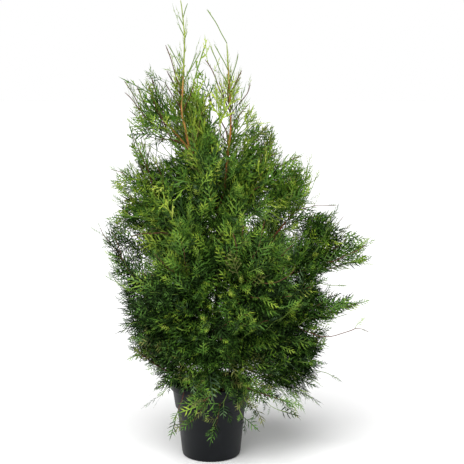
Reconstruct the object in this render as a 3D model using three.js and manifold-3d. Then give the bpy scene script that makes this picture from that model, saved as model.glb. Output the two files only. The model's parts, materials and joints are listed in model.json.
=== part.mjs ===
// A potted thuja: a young evergreen tree with a forked leader, in a round nursery container.
//
// Millimetres, +Z up. The origin is the centre of the pot's flat underside, +X is the plant's
// right-hand side and -Y its front. Limbs and masses of foliage are lathe-turned forms bent along
// smooth curves. Trunk and limbs stay whole, and the foliage is cut round them.

import * as THREE from "three";
import { mergeVertices } from "three/addons/utils/BufferGeometryUtils.js";
import Module from "manifold-3d";

const wasm = await Module();
wasm.setup();

// ---------------------------------------------------------------- driving dimensions

const GAP = 0.3; // clearance between neighbouring solids

const POT_HEIGHT = 192;
const POT_BASE_RADIUS = 75;
const POT_FOOT_ROUND = 5; // rounding of the bottom edge
const POT_RIM_RADIUS = 105.5;
const POT_LIP_HEIGHT = 16; // the turned-over band under the rim
const POT_LIP_ROUND = 2;
const POT_SHOULDER_Z = 129; // the stacking shoulder, where the wall steps outwards
const POT_SHOULDER_RADIUS = 88.5;
const POT_SHOULDER_STEP = 4.5;
const POT_NECK_RADIUS = 100; // outside of the wall just under the lip
const POT_WALL = 2;
const POT_FLOOR = 3;
const POT_SIDES = 26;

const DRAIN_COUNT = 6;
const DRAIN_RADIUS = 6;
const DRAIN_CIRCLE_RADIUS = 48;

const SOIL_TOP = 176;
const RIM_AIR = 1; // clearance round the pot's rim

const TRUNK_FLARE_RADIUS = 14;
const TRUNK_RADIUS = 7.5;
const TRUNK_TIP_RADIUS = 1.2;
const LEADER_RADIUS = 4;
const LIMB_TIP_RADIUS = 1.2;
const BOUGH_RADIUS = 3.6;
const BOUGH_TIP_RADIUS = 1.5;

const TRUNK_SIDES = 7;
const BOUGH_SIDES = 5;
const PLUME_SIDES = 6;
const SHOOT_SIDES = 4;

const UNEVENNESS = 0.24; // how far a plume's surface strays from round, as a share of its radius
const GOLDEN_ANGLE = 2.399963;
const SPREAD_AT = 0.78; // share of a plume's length beside which an unnamed side shoot ends
const SIDE_SHOOT_SHARE = 0.62; // a side shoot's girth as a share of its plume's

// Radius share against length share, from foot to tip.
const PLUME_PROFILE = [[0, 0], [0.86, 0.14], [1, 0.46], [0.6, 0.78], [0, 1]];
const SHOOT_PROFILE = [[0, 0], [1, 0.4], [0.5, 0.82], [0, 1]];

// ---------------------------------------------------------------- finishes

const finish = (color, roughness) => new THREE.MeshStandardMaterial({ color, roughness, metalness: 0 });

const FINISH = {
  pot: () => finish(0x2b2f33, 0.5),
  soil: () => finish(0x33261c, 0.95),
  bark: () => finish(0x6e4028, 0.85),
  youngBark: () => finish(0xb07a3e, 0.8),
  lime: () => finish(0x9cbf52, 0.75),
  fresh: () => finish(0x6b9c3c, 0.75),
  green: () => finish(0x4b8233, 0.8),
  deep: () => finish(0x335c28, 0.85),
};

// ---------------------------------------------------------------- solids and curves

// Seeded random numbers between 0 and 1 (the "mulberry32" rule).
function seeded(seed) {
  let state = seed >>> 0;
  return () => {
    state = (state + 0x6d2b79f5) >>> 0;
    let mixed = Math.imul(state ^ (state >>> 15), state | 1);
    mixed ^= mixed + Math.imul(mixed ^ (mixed >>> 7), mixed | 61);
    return ((mixed ^ (mixed >>> 14)) >>> 0) / 4294967296;
  };
}

// A closed three.js geometry as a solid that can be joined and cut.
function solidOf(geometry) {
  const bare = new THREE.BufferGeometry();
  bare.setAttribute("position", geometry.getAttribute("position"));
  bare.setIndex(geometry.index);
  const merged = mergeVertices(bare, 1e-4);
  return new wasm.Manifold(
    new wasm.Mesh({
      numProp: 3,
      vertProperties: new Float32Array(merged.attributes.position.array),
      triVerts: new Uint32Array(merged.index.array),
    }),
  );
}

// A solid back as a flat-shaded geometry.
function geometryOf(solid) {
  const mesh = solid.getMesh();
  const indexed = new THREE.BufferGeometry();
  indexed.setAttribute("position", new THREE.BufferAttribute(new Float32Array(mesh.vertProperties), 3));
  indexed.setIndex(new THREE.BufferAttribute(new Uint32Array(mesh.triVerts), 1));
  const geometry = indexed.toNonIndexed();
  geometry.computeVertexNormals();
  return geometry;
}

// The largest separate body of a solid: what is left of a mass after its neighbours are cut out.
function largestBody(solid) {
  return solid.decompose().reduce((best, body) => (body.volume() > best.volume() ? body : best));
}

// A profile of [radius, height] points turned about Z.
function turned(profile, sides) {
  const lathe = new THREE.LatheGeometry(profile.map(([r, z]) => new THREE.Vector2(r, z)), sides);
  return lathe.rotateX(Math.PI / 2);
}

// A smooth curve through hand-set points.
function smoothCurve(points) {
  return new THREE.CatmullRomCurve3(points.map((point) => new THREE.Vector3(...point)), false, "centripetal");
}

const UP = new THREE.Vector3(0, 0, 1);

// The frame of a curve at a share of its length: its direction, a level sideways axis, and the axis
// across both. On an upright stretch the sideways axis follows the ring before.
function frameAt(curve, share, before) {
  const along = curve.getTangentAt(share).normalize();
  const level = UP.clone().cross(along);
  if (level.length() < 0.05) {
    level.copy(before?.level ?? new THREE.Vector3(0, 1, 0));
  }
  if (before && level.dot(before.level) < 0) {
    level.negate();
  }
  const across = along.clone().cross(level).normalize();
  return { along, level: across.clone().cross(along).normalize(), across, centre: curve.getPointAt(share) };
}

// A lathe form bent along a curve. Profile heights run from 0 to 1 along the curve, and radii are
// scaled by width (sideways) and depth (across). grow thickens and lengthens the form all round.
function bent({ curve, profile, sides, width, depth, unevenness = 0, random = () => 0.5, grow = 0 }) {
  const outline = profile.map(([radius, share]) => new THREE.Vector2(radius, share));
  const lathe = new THREE.LatheGeometry(outline, sides);
  const position = lathe.getAttribute("position");
  const last = profile.length - 1;
  let before;
  profile.forEach(([radius, share], row) => {
    const ring = frameAt(curve, share, before);
    const rough = Array.from({ length: sides }, () => 1 + unevenness * (2 * random() - 1));
    const thicker = radius > 0 ? grow : 0;
    for (let column = 0; column <= sides; column += 1) {
      const angle = (column / sides) * 2 * Math.PI;
      const uneven = radius * rough[column % sides];
      const point = ring.centre
        .clone()
        .addScaledVector(ring.level, Math.cos(angle) * (uneven * width + thicker))
        .addScaledVector(ring.across, Math.sin(angle) * (uneven * depth + thicker));
      if (row === 0) {
        point.addScaledVector(ring.along, -grow);
      }
      if (row === last) {
        point.addScaledVector(ring.along, grow);
      }
      position.setXYZ(column * profile.length + row, point.x, point.y, point.z);
    }
    before = ring;
  });
  return solidOf(lathe);
}

// ---------------------------------------------------------------- pot and soil

function potSolid() {
  const lipBottom = POT_HEIGHT - POT_LIP_HEIGHT;
  const stepRadius = POT_SHOULDER_RADIUS + POT_SHOULDER_STEP;
  const outside = [
    [0, 0],
    [POT_BASE_RADIUS - POT_FOOT_ROUND, 0],
    [POT_BASE_RADIUS, POT_FOOT_ROUND],
    [POT_SHOULDER_RADIUS, POT_SHOULDER_Z],
    [stepRadius, POT_SHOULDER_Z + POT_SHOULDER_STEP],
    [POT_NECK_RADIUS, lipBottom],
    [POT_RIM_RADIUS, lipBottom + POT_LIP_ROUND],
    [POT_RIM_RADIUS, POT_HEIGHT - POT_LIP_ROUND],
    [POT_RIM_RADIUS - POT_LIP_ROUND, POT_HEIGHT],
  ];
  const inside = [
    [POT_NECK_RADIUS - POT_WALL + 1, POT_HEIGHT],
    [POT_NECK_RADIUS - POT_WALL, lipBottom],
    [stepRadius - POT_WALL, POT_SHOULDER_Z + POT_SHOULDER_STEP],
    [POT_SHOULDER_RADIUS - POT_WALL, POT_SHOULDER_Z],
    [POT_BASE_RADIUS - POT_WALL, POT_FLOOR],
    [0, POT_FLOOR],
  ];
  let pot = solidOf(turned([...outside, ...inside], POT_SIDES));
  for (let i = 0; i < DRAIN_COUNT; i += 1) {
    const angle = ((i + 0.5) / DRAIN_COUNT) * 2 * Math.PI;
    const hole = new THREE.CylinderGeometry(DRAIN_RADIUS, DRAIN_RADIUS, POT_FLOOR * 4, 12);
    hole.rotateX(Math.PI / 2);
    hole.translate(Math.cos(angle) * DRAIN_CIRCLE_RADIUS, Math.sin(angle) * DRAIN_CIRCLE_RADIUS, 0);
    pot = pot.subtract(solidOf(hole));
  }
  return pot;
}

function soilSolid() {
  const clear = POT_WALL + GAP;
  return solidOf(
    turned(
      [
        [0, POT_FLOOR + GAP],
        [POT_BASE_RADIUS - clear - 1, POT_FLOOR + GAP],
        [POT_SHOULDER_RADIUS - clear, POT_SHOULDER_Z],
        [POT_SHOULDER_RADIUS + POT_SHOULDER_STEP - clear - 0.5, POT_SHOULDER_Z + POT_SHOULDER_STEP + 0.5],
        [POT_NECK_RADIUS - clear - 0.5, SOIL_TOP],
        [0, SOIL_TOP],
      ],
      POT_SIDES,
    ),
  );
}

// The room that pot and soil take up, with a little air round the rim. What grows stays clear of it.
function potClearance() {
  const lipBottom = POT_HEIGHT - POT_LIP_HEIGHT;
  const insideRadius = POT_NECK_RADIUS - POT_WALL - GAP;
  return solidOf(
    turned(
      [
        [0, -GAP],
        [POT_BASE_RADIUS + GAP, -GAP],
        [POT_SHOULDER_RADIUS + GAP, POT_SHOULDER_Z],
        [POT_RIM_RADIUS + RIM_AIR, lipBottom - RIM_AIR],
        [POT_RIM_RADIUS + RIM_AIR, POT_HEIGHT + RIM_AIR],
        [insideRadius, POT_HEIGHT + RIM_AIR],
        [insideRadius - RIM_AIR, SOIL_TOP + GAP / 2],
        [0, SOIL_TOP + GAP / 2],
      ],
      POT_SIDES,
    ),
  );
}

// ---------------------------------------------------------------- stems and boughs

const STEM_FOOT = SOIL_TOP + GAP;

// A stem or bough tapers evenly from its foot to its end; only the trunk has a flare at the ground.
const taper = (foot, end, rings) =>
  Array.from({ length: rings + 1 }, (_, i) => [foot + ((end - foot) * i) / rings, i / rings]);

const closedEnds = (sides) => [[0, 0], ...sides, [0, 1]];

const TRUNK_PROFILE = closedEnds([
  [TRUNK_FLARE_RADIUS, 0],
  [TRUNK_RADIUS * 1.25, 0.018],
  ...taper(TRUNK_RADIUS, TRUNK_TIP_RADIUS, 11).slice(1),
]);

// Upright stems, each one whole from the ground or its fork to its tip.
const STEMS = [
  {
    name: "trunk",
    points: [
      [3, 0, STEM_FOOT],
      [3, 0, 215],
      [10, -2, 350],
      [21, 0, 470],
      [23, 4, 620],
      [-14, 2, 706],
      [-46, 0, 775],
      [-73, 4, 890],
      [-62, 2, 1045],
      [-72, 0, 1160],
    ],
    profile: TRUNK_PROFILE,
    bark: "bark",
  },
  {
    name: "right_leader",
    points: [
      [23, 4, 630],
      [37, -6, 695],
      [43, -10, 780],
      [52, -8, 850],
      [46, -2, 965],
      [41, 0, 1055],
    ],
    profile: closedEnds(taper(LEADER_RADIUS, LIMB_TIP_RADIUS, 6)),
    bark: "youngBark",
  },
  {
    name: "second_stem",
    points: [
      [-13, -13, STEM_FOOT],
      [-11, -15, 215],
      [-13, -25, 320],
      [-38, -50, 400],
      [-52, -85, 480],
    ],
    profile: closedEnds(taper(4.2, BOUGH_TIP_RADIUS, 5)),
    bark: "youngBark",
  },
];

// Each bough leaves the stem that it grows on and ends inside the masses of foliage that it carries.
const BOUGHS = [
  { name: "bough_upper_left", points: [[-50, 2, 785], [-78, 6, 820], [-112, 8, 860]] },
  { name: "bough_upper_right", points: [[24, 4, 575], [60, 12, 620], [104, 14, 690], [122, 12, 745]] },
  { name: "bough_left_middle", points: [[20, 0, 505], [-42, -34, 530], [-100, -30, 590], [-138, -22, 650]] },
  { name: "bough_left_lower", points: [[9, -2, 320], [-80, -26, 325], [-158, -18, 370], [-180, -10, 450]] },
  { name: "bough_left_low", points: [[4, 0, 215], [-80, -40, 214], [-140, -48, 248], [-180, -50, 280]] },
  { name: "bough_right_upper", points: [[21, 1, 480], [90, 6, 520], [170, 0, 580], [215, -6, 640]] },
  { name: "bough_right_middle", points: [[17, 0, 420], [110, 12, 425], [190, 10, 460], [250, 6, 500]] },
  { name: "bough_right_lower", points: [[8, -2, 310], [80, -8, 305], [160, -6, 325], [225, 0, 350]] },
  { name: "bough_right_low", points: [[5, 0, 235], [80, -4, 225], [150, -2, 228], [205, 0, 240]] },
  { name: "bough_low_right", points: [[4, -1, 200], [58, -58, 208], [112, -112, 196], [150, -126, 188]] },
  { name: "bough_front_right", points: [[18, 0, 440], [48, -50, 450], [72, -96, 480]] },
  { name: "bough_back_upper", points: [[23, 4, 600], [20, 60, 640], [4, 96, 700]] },
  { name: "bough_back_left", points: [[19, 0, 455], [-50, 64, 470], [-96, 110, 520]] },
  { name: "bough_back_right", points: [[16, 0, 400], [76, 70, 410], [120, 116, 460]] },
  { name: "bough_back_low_left", points: [[7, -1, 275], [-54, 66, 270], [-104, 112, 300]] },
  { name: "bough_back_low_right", points: [[6, 0, 255], [62, 72, 250], [104, 116, 280]] },
];

const BOUGH_PROFILE = closedEnds(taper(BOUGH_RADIUS, BOUGH_TIP_RADIUS, 3));

function limbSolid({ points, profile = BOUGH_PROFILE }, sides, grow = 0) {
  return bent({ curve: smoothCurve(points), profile, sides, width: 1, depth: 1, grow });
}

// ---------------------------------------------------------------- foliage

// Each mass grows from a point on its limb (a share of the limb's length) out to its tip. width and
// depth are half its breadth, sideways and across; sweep bows its middle. Side shoots end at the side
// tips, or where none are named, one ends at the distance spread beside the plume.
const MASSES = [
  {
    name: "foliage_left_leader_top", tone: "lime", on: ["trunk", 0.87],
    tip: [-74, -2, 1163], width: 15, depth: 15,
    sideTips: [[-97, 4, 1132], [-20, -4, 1126], [-18, 6, 1058]],
  },
  {
    name: "foliage_left_leader", tone: "lime", on: ["trunk", 0.58],
    tip: [-80, 4, 1065], width: 46, depth: 44,
    sideTips: [[-104, -20, 1040], [-28, 22, 1040], [-6, -14, 1000]],
  },
  {
    name: "foliage_right_leader_top", tone: "lime", on: ["right_leader", 0.5],
    tip: [41, -2, 1062], width: 24, depth: 30,
    sideTips: [[2, 8, 1015], [74, -10, 1010]],
  },
  {
    name: "foliage_right_leader", tone: "lime", on: ["right_leader", 0.12],
    tip: [70, -6, 955], width: 42, depth: 44,
    sideTips: [[122, 4, 980], [124, -16, 924], [20, -30, 930]],
  },
  {
    name: "foliage_upper_left", tone: "fresh", on: ["bough_upper_left", 0.3],
    tip: [-160, 8, 1010], width: 60, depth: 48, sweep: 14,
    sideTips: [[-188, 30, 956], [-200, -22, 928], [-222, 6, 896], [-184, 10, 842]],
  },
  {
    name: "foliage_centre_upper", tone: "fresh", on: ["trunk", 0.56],
    tip: [-8, 40, 985], width: 50, depth: 50, spread: 30,
  },
  {
    name: "foliage_upper_right", tone: "fresh", on: ["bough_upper_right", 0.55],
    tip: [158, 6, 872], width: 62, depth: 42,
    sideTips: [[176, -20, 838], [183, 24, 785], [88, -30, 850]],
  },
  {
    name: "foliage_upper_right_inner", tone: "green", on: ["bough_upper_right", 0.35],
    tip: [180, -20, 740], width: 56, depth: 44, sweep: 10, spread: 24,
  },
  {
    name: "foliage_front_centre", tone: "green", on: ["trunk", 0.32],
    tip: [4, -70, 850], width: 64, depth: 42, sweep: 26, spread: 34,
  },
  {
    name: "foliage_left_high", tone: "fresh", on: ["bough_left_middle", 0.86],
    tip: [-208, -6, 848], width: 54, depth: 26,
    sideTips: [[-186, -36, 806], [-152, 20, 780]],
  },
  {
    name: "foliage_left_shoulder", tone: "fresh", on: ["bough_left_middle", 0.66],
    tip: [-258, -20, 762], width: 60, depth: 40, sweep: 10,
    sideTips: [[-250, 10, 700], [-180, -60, 740]],
  },
  {
    name: "foliage_left_outer", tone: "green", on: ["bough_left_lower", 0.86],
    tip: [-270, -6, 640], width: 62, depth: 46, sweep: 4,
    sideTips: [[-292, 20, 572], [-190, -40, 650]],
  },
  {
    name: "foliage_left_inner", tone: "green", on: ["bough_left_middle", 0.3],
    tip: [-82, 10, 806], width: 78, depth: 50, sweep: 14,
    sideTips: [[-132, 0, 732]],
  },
  {
    name: "foliage_right_upper", tone: "fresh", on: ["bough_right_upper", 0.7],
    tip: [228, 0, 795], width: 60, depth: 38, sweep: 8,
    sideTips: [[268, 12, 765], [270, -30, 715], [190, -20, 700]],
  },
  {
    name: "foliage_right_outer", tone: "green", on: ["bough_right_middle", 0.76],
    tip: [312, -4, 655], width: 60, depth: 48, sweep: 10,
    sideTips: [[342, 14, 628], [240, -20, 660]],
  },
  {
    name: "foliage_right_far", tone: "fresh", on: ["bough_right_middle", 0.94],
    tip: [386, -8, 578], width: 50, depth: 17,
    sideTips: [[402, -20, 532], [366, 22, 490]],
  },
  {
    name: "foliage_right_lower", tone: "green", on: ["bough_right_lower", 0.6],
    tip: [292, -4, 508], width: 72, depth: 54, sweep: 10,
    sideTips: [[406, -6, 412], [338, 20, 364], [250, -50, 480]],
  },
  {
    name: "foliage_right_low", tone: "deep", on: ["bough_right_low", 0.6],
    tip: [316, -4, 325], width: 62, depth: 52, sweep: 0,
    sideTips: [[326, 20, 292], [312, -20, 232], [210, -60, 320]],
  },
  {
    name: "foliage_right_droop", tone: "deep", on: ["bough_right_low", 0.36],
    tip: [290, -12, 176], width: 56, depth: 32, sweep: -12,
    sideTips: [[262, -34, 140], [280, 24, 205]],
  },
  {
    name: "foliage_low_right_branch", tone: "deep", on: ["bough_low_right", 0.5],
    tip: [206, -122, 136], width: 36, depth: 15, sweep: -20,
    sideTips: [[176, -150, 152], [196, -92, 150]],
  },
  {
    name: "foliage_front_left_plume", tone: "lime", on: ["second_stem", 0.5],
    tip: [-52, -150, 700], width: 52, depth: 48, sweep: 20, spread: 30,
  },
  {
    name: "foliage_front_right_plume", tone: "fresh", on: ["bough_front_right", 0.5],
    tip: [70, -150, 660], width: 60, depth: 48, sweep: 24, spread: 36,
  },
  {
    name: "foliage_front_right_fan", tone: "fresh", on: ["bough_front_right", 0.4],
    tip: [205, -140, 630], width: 66, depth: 54, sweep: 30, spread: 36,
  },
  {
    name: "foliage_front_low_right", tone: "green", on: ["trunk", 0.13],
    tip: [212, -136, 512], width: 90, depth: 58, sweep: 12, spread: 40,
  },
  {
    name: "foliage_front_low", tone: "green", on: ["trunk", 0.09],
    tip: [20, -205, 440], width: 78, depth: 52, sweep: 30, spread: 36,
  },
  {
    name: "foliage_front_left_low", tone: "green", on: ["bough_left_lower", 0.22],
    tip: [-126, -136, 574], width: 88, depth: 56, sweep: 26, spread: 40,
  },
  {
    name: "foliage_left_lower", tone: "deep", on: ["bough_left_lower", 0.5],
    tip: [-236, -10, 470], width: 64, depth: 46, sweep: 16,
    sideTips: [[-246, 20, 400], [-220, -50, 360]],
  },
  {
    name: "foliage_left_low", tone: "deep", on: ["bough_left_low", 0.45],
    tip: [-214, -40, 345], width: 66, depth: 32, sweep: -8,
    sideTips: [[-218, 4, 312], [-150, -90, 320]],
  },
  {
    name: "foliage_left_skirt", tone: "deep", on: ["bough_left_low", 0.34],
    tip: [-146, -50, 172], width: 46, depth: 24, sweep: -14,
    sideTips: [[-140, -84, 160], [-150, -10, 216]],
  },
  {
    name: "foliage_front_skirt_left", tone: "deep", on: ["second_stem", 0.26],
    tip: [-60, -146, 92], width: 42, depth: 17, sweep: -46,
    sideTips: [[-22, -154, 136]],
  },
  {
    name: "foliage_front_skirt_right", tone: "deep", on: ["trunk", 0.08],
    tip: [38, -152, 108], width: 46, depth: 18, sweep: -44,
    sideTips: [[74, -140, 140]],
  },
  {
    name: "foliage_back_top", tone: "fresh", on: ["bough_back_upper", 0.7],
    tip: [-34, 90, 940], width: 70, depth: 52, sweep: 20, spread: 40,
  },
  {
    name: "foliage_back_middle", tone: "green", on: ["bough_back_upper", 0.4],
    tip: [56, 190, 780], width: 84, depth: 60, sweep: 30, spread: 40,
  },
  {
    name: "foliage_back_left", tone: "green", on: ["bough_back_left", 0.6],
    tip: [-150, 190, 715], width: 84, depth: 60, sweep: 30, spread: 40,
  },
  {
    name: "foliage_back_right", tone: "green", on: ["bough_back_right", 0.6],
    tip: [180, 180, 650], width: 84, depth: 60, sweep: 30, spread: 40,
  },
  {
    name: "foliage_back_low", tone: "green", on: ["bough_back_left", 0.2],
    tip: [10, 260, 500], width: 84, depth: 60, sweep: 36, spread: 40,
  },
  {
    name: "foliage_back_low_left", tone: "deep", on: ["bough_back_low_left", 0.5],
    tip: [-180, 200, 470], width: 90, depth: 56, sweep: 26, spread: 40,
  },
  {
    name: "foliage_back_low_right", tone: "deep", on: ["bough_back_low_right", 0.5],
    tip: [210, 190, 390], width: 84, depth: 56, sweep: 26, spread: 40,
  },
  {
    name: "foliage_back_skirt", tone: "deep", on: ["bough_back_low_left", 0.2],
    tip: [10, 210, 200], width: 96, depth: 38, sweep: 6, spread: 30,
  },
];

function footOf([limb, share]) {
  const { points } = [...STEMS, ...BOUGHS].find(({ name }) => name === limb);
  return smoothCurve(points).getPointAt(share);
}

// The curve of a plume: from foot to tip, bowed outwards by its sweep. A sweep above zero also sags the
// middle, as on a rising plume, and one below zero lifts it, as on a plume that droops over the rim.
function plumeCurve(foot, tip, sweep) {
  const outward = new THREE.Vector3(tip.x - foot.x, tip.y - foot.y, 0);
  if (outward.length() > 1) outward.normalize();
  const middle = foot.clone().lerp(tip, 0.5);
  middle.addScaledVector(outward, Math.abs(sweep));
  middle.z -= sweep * (sweep > 0 ? 0.6 : 1);
  const control = middle.multiplyScalar(2).sub(foot.clone().lerp(tip, 0.5));
  return new THREE.QuadraticBezierCurve3(foot, control, tip);
}

// The tip of the one side shoot of a mass whose side tips aren't named: beside the main plume's upper
// half, on a side that the golden angle gives, so that neighbours' shoots point different ways.
function spreadTip(mass, curve, order) {
  const along = curve.getTangentAt(SPREAD_AT);
  const level = new THREE.Vector3(0, 0, 1).cross(along).normalize();
  const across = along.clone().cross(level);
  const angle = order * GOLDEN_ANGLE;
  return curve
    .getPointAt(SPREAD_AT)
    .addScaledVector(level, Math.cos(angle) * (mass.width * 0.5 + mass.spread))
    .addScaledVector(across, Math.sin(angle) * (mass.depth * 0.5 + mass.spread))
    .addScaledVector(along, mass.spread * 0.5);
}

// One mass: a main plume and its side shoots, joined into one closed body.
function massSolid(mass, order, grow = 0) {
  const { width, depth, sweep = 0 } = mass;
  const random = seeded(order * 7919 + 17);
  const curve = plumeCurve(footOf(mass.on), new THREE.Vector3(...mass.tip), sweep);
  const form = { unevenness: UNEVENNESS, random, grow };
  const plume = bent({ ...form, curve, profile: PLUME_PROFILE, sides: PLUME_SIDES, width, depth });
  const tips = mass.sideTips?.map((tip) => new THREE.Vector3(...tip)) ?? [spreadTip(mass, curve, order)];
  return tips.reduce((solid, tip, i) => {
    const start = curve.getPointAt(0.2 + (0.3 * i) / tips.length);
    const shoot = bent({
      ...form,
      curve: plumeCurve(start, tip, sweep * 0.4),
      profile: SHOOT_PROFILE,
      sides: SHOOT_SIDES,
      width: width * SIDE_SHOOT_SHARE,
      depth: depth * SIDE_SHOOT_SHARE,
    });
    return solid.add(shoot);
  }, plume);
}

// ---------------------------------------------------------------- assembly

const group = new THREE.Group();
group.name = "potted_thuja";

function place(name, solid, material) {
  const mesh = new THREE.Mesh(geometryOf(solid), material);
  mesh.name = name;
  group.add(mesh);
}

place("pot", potSolid(), FINISH.pot());
place("soil", soilSolid(), FINISH.soil());

// What is placed so far, grown by the gap. Each later solid is cut round it.
let keepOut = potClearance();

function placeCut(name, solid, grown, material) {
  place(name, largestBody(solid.subtract(keepOut)), material);
  keepOut = keepOut.add(grown);
}

for (const stem of STEMS) {
  placeCut(stem.name, limbSolid(stem, TRUNK_SIDES), limbSolid(stem, TRUNK_SIDES, GAP), FINISH[stem.bark]());
}
for (const bough of BOUGHS) {
  placeCut(bough.name, limbSolid(bough, BOUGH_SIDES), limbSolid(bough, BOUGH_SIDES, GAP), FINISH.bark());
}
MASSES.forEach((mass, order) => {
  placeCut(mass.name, massSolid(mass, order), massSolid(mass, order, GAP), FINISH[mass.tone]());
});

export default group;
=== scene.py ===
"""Potted thuja: a young conifer in a black nursery pot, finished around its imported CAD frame.

The trunk, stems and boughs get a skin of bark that follows the CAD limbs. Each closed foliage
solid gives way to twigs that grow on from the limbs by a seeded space colonisation rule, and to
flat sprays of scale leaves that Geometry Nodes set on those twigs. The pot and its compost are
turned and strewn to the sizes of their CAD nodes.
"""

import json
import logging
import math
from dataclasses import dataclass, field
from enum import Enum
from itertools import product
from typing import Any, Callable

import bpy
import numpy as np
from bpy.types import Collection, Material, Mesh, Node, NodeSocket, NodeTree, Object
from mathutils import Matrix, Vector, noise
from mathutils.bvhtree import BVHTree
from numpy.random import Generator

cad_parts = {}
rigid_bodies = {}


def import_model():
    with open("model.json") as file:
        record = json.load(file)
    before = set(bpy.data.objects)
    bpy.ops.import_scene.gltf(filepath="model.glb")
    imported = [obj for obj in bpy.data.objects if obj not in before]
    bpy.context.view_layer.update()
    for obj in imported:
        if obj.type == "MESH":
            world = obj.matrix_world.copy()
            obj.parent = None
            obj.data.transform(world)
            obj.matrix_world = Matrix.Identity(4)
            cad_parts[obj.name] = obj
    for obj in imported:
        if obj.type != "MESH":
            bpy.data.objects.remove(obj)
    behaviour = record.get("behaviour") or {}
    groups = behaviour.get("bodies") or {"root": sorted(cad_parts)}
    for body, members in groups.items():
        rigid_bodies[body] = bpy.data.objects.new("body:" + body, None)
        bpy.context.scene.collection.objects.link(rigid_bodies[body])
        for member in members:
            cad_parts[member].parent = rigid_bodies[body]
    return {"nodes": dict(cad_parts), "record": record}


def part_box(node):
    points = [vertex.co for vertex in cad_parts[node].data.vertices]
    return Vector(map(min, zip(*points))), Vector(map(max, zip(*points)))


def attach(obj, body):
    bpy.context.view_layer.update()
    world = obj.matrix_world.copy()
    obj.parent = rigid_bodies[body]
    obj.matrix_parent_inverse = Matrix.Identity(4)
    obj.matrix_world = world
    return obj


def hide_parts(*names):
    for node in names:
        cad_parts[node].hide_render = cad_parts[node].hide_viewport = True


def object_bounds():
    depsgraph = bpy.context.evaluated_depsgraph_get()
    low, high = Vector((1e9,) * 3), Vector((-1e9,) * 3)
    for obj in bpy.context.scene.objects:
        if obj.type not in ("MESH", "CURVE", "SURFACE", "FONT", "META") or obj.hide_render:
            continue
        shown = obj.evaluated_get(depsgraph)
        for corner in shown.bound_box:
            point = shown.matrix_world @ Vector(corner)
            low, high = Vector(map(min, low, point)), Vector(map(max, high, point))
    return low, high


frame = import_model()
CAD_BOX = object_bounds()

LOG = logging.getLogger("potted_thuja")
ROOT = "root"
MM = 0.001
UP = np.array([0.0, 0.0, 1.0])
Faces = list[tuple[int, ...]]
SEED = 4711


# ---- small helpers


def linear(colour: str) -> tuple[float, float, float, float]:
    """Turns an sRGB hex colour into the linear colour that Blender's sockets hold.

    Args:
        colour: six hex digits after a hash sign.

    Returns:
        Linear red, green and blue, and an alpha of one.
    """
    parts = [int(colour[i : i + 2], 16) / 255 for i in (1, 3, 5)]
    return (*[c / 12.92 if c <= 0.04045 else ((c + 0.055) / 1.055) ** 2.4 for c in parts], 1.0)


def unit(vector: np.ndarray) -> np.ndarray:
    """Returns the vector, or each row of vectors, at length one."""
    length = np.linalg.norm(vector, axis=-1, keepdims=True)
    return vector / np.maximum(length, 1e-9)


def ramp(value: float, start: float, end: float) -> float:
    """Returns how far value is from start to end, from zero to one, eased at both ends."""
    share = min(max((value - start) / (end - start), 0.0), 1.0)
    return share * share * (3 - 2 * share)


def add_node(
    tree: NodeTree,
    kind: str,
    inputs: dict[str | int, Any] | None = None,
    **settings: Any,
) -> Node:
    """Adds one node to a tree, with its settings, its values and its links.

    Args:
        tree: the material's or the geometry's node tree.
        kind: the node's type name.
        inputs: a value, or an output socket to link, for each input's name or number.
        settings: the node's own properties.

    Returns:
        The new node.
    """
    node = tree.nodes.new(kind)
    for name, value in settings.items():
        setattr(node, name, value)
    for key, value in (inputs or {}).items():
        if isinstance(value, NodeSocket):
            tree.links.new(value, node.inputs[key])
        else:
            node.inputs[key].default_value = value
    return node


def noise_at(
    tree: NodeTree,
    place: NodeSocket,
    scale: float,
    detail: float,
    roughness: float = 0.5,
) -> NodeSocket:
    """Returns the output of a noise node, whose scale is a count of its lumps to a metre."""
    inputs = {"Vector": place, "Scale": scale, "Detail": detail, "Roughness": roughness}
    return add_node(tree, "ShaderNodeTexNoise", inputs).outputs["Fac"]


def mapped(
    tree: NodeTree,
    value: NodeSocket,
    source: tuple[float, float],
    target: tuple[float, float] = (0.0, 1.0),
) -> NodeSocket:
    """Returns the output of a node that maps a value from its source range to a target range.

    Args:
        tree: the tree to add to.
        value: the value to map.
        source: the range that it is mapped from.
        target: the range that it is mapped to.
    """
    names = ("From Min", "From Max", "To Min", "To Max")
    inputs = {"Value": value, **dict(zip(names, (*source, *target)))}
    return add_node(tree, "ShaderNodeMapRange", inputs).outputs["Result"]


def mixed(tree: NodeTree, share: NodeSocket, first: Any, second: Any) -> NodeSocket:
    """Returns the output of a node that mixes two colours, each a value or a socket."""
    inputs = {"Factor": share, 6: first, 7: second}
    return add_node(tree, "ShaderNodeMix", inputs, data_type="RGBA").outputs[2]


def bumped(tree: NodeTree, height: NodeSocket, strength: float, depth: float) -> NodeSocket:
    """Returns the normals of a node that raises a pattern by a depth."""
    inputs = {"Height": height, "Strength": strength, "Distance": depth}
    return add_node(tree, "ShaderNodeBump", inputs).outputs["Normal"]


def new_material(name: str) -> tuple[Material, NodeTree, Node]:
    """Makes a material that holds one Principled shader.

    Args:
        name: the finish's plain name.

    Returns:
        The material, its tree and its shader node.
    """
    material = bpy.data.materials.new(name)
    material.use_nodes = True
    tree = material.node_tree
    tree.nodes.clear()
    shader = add_node(tree, "ShaderNodeBsdfPrincipled")
    add_node(tree, "ShaderNodeOutputMaterial", {"Surface": shader.outputs["BSDF"]})
    return material, tree, shader


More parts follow.
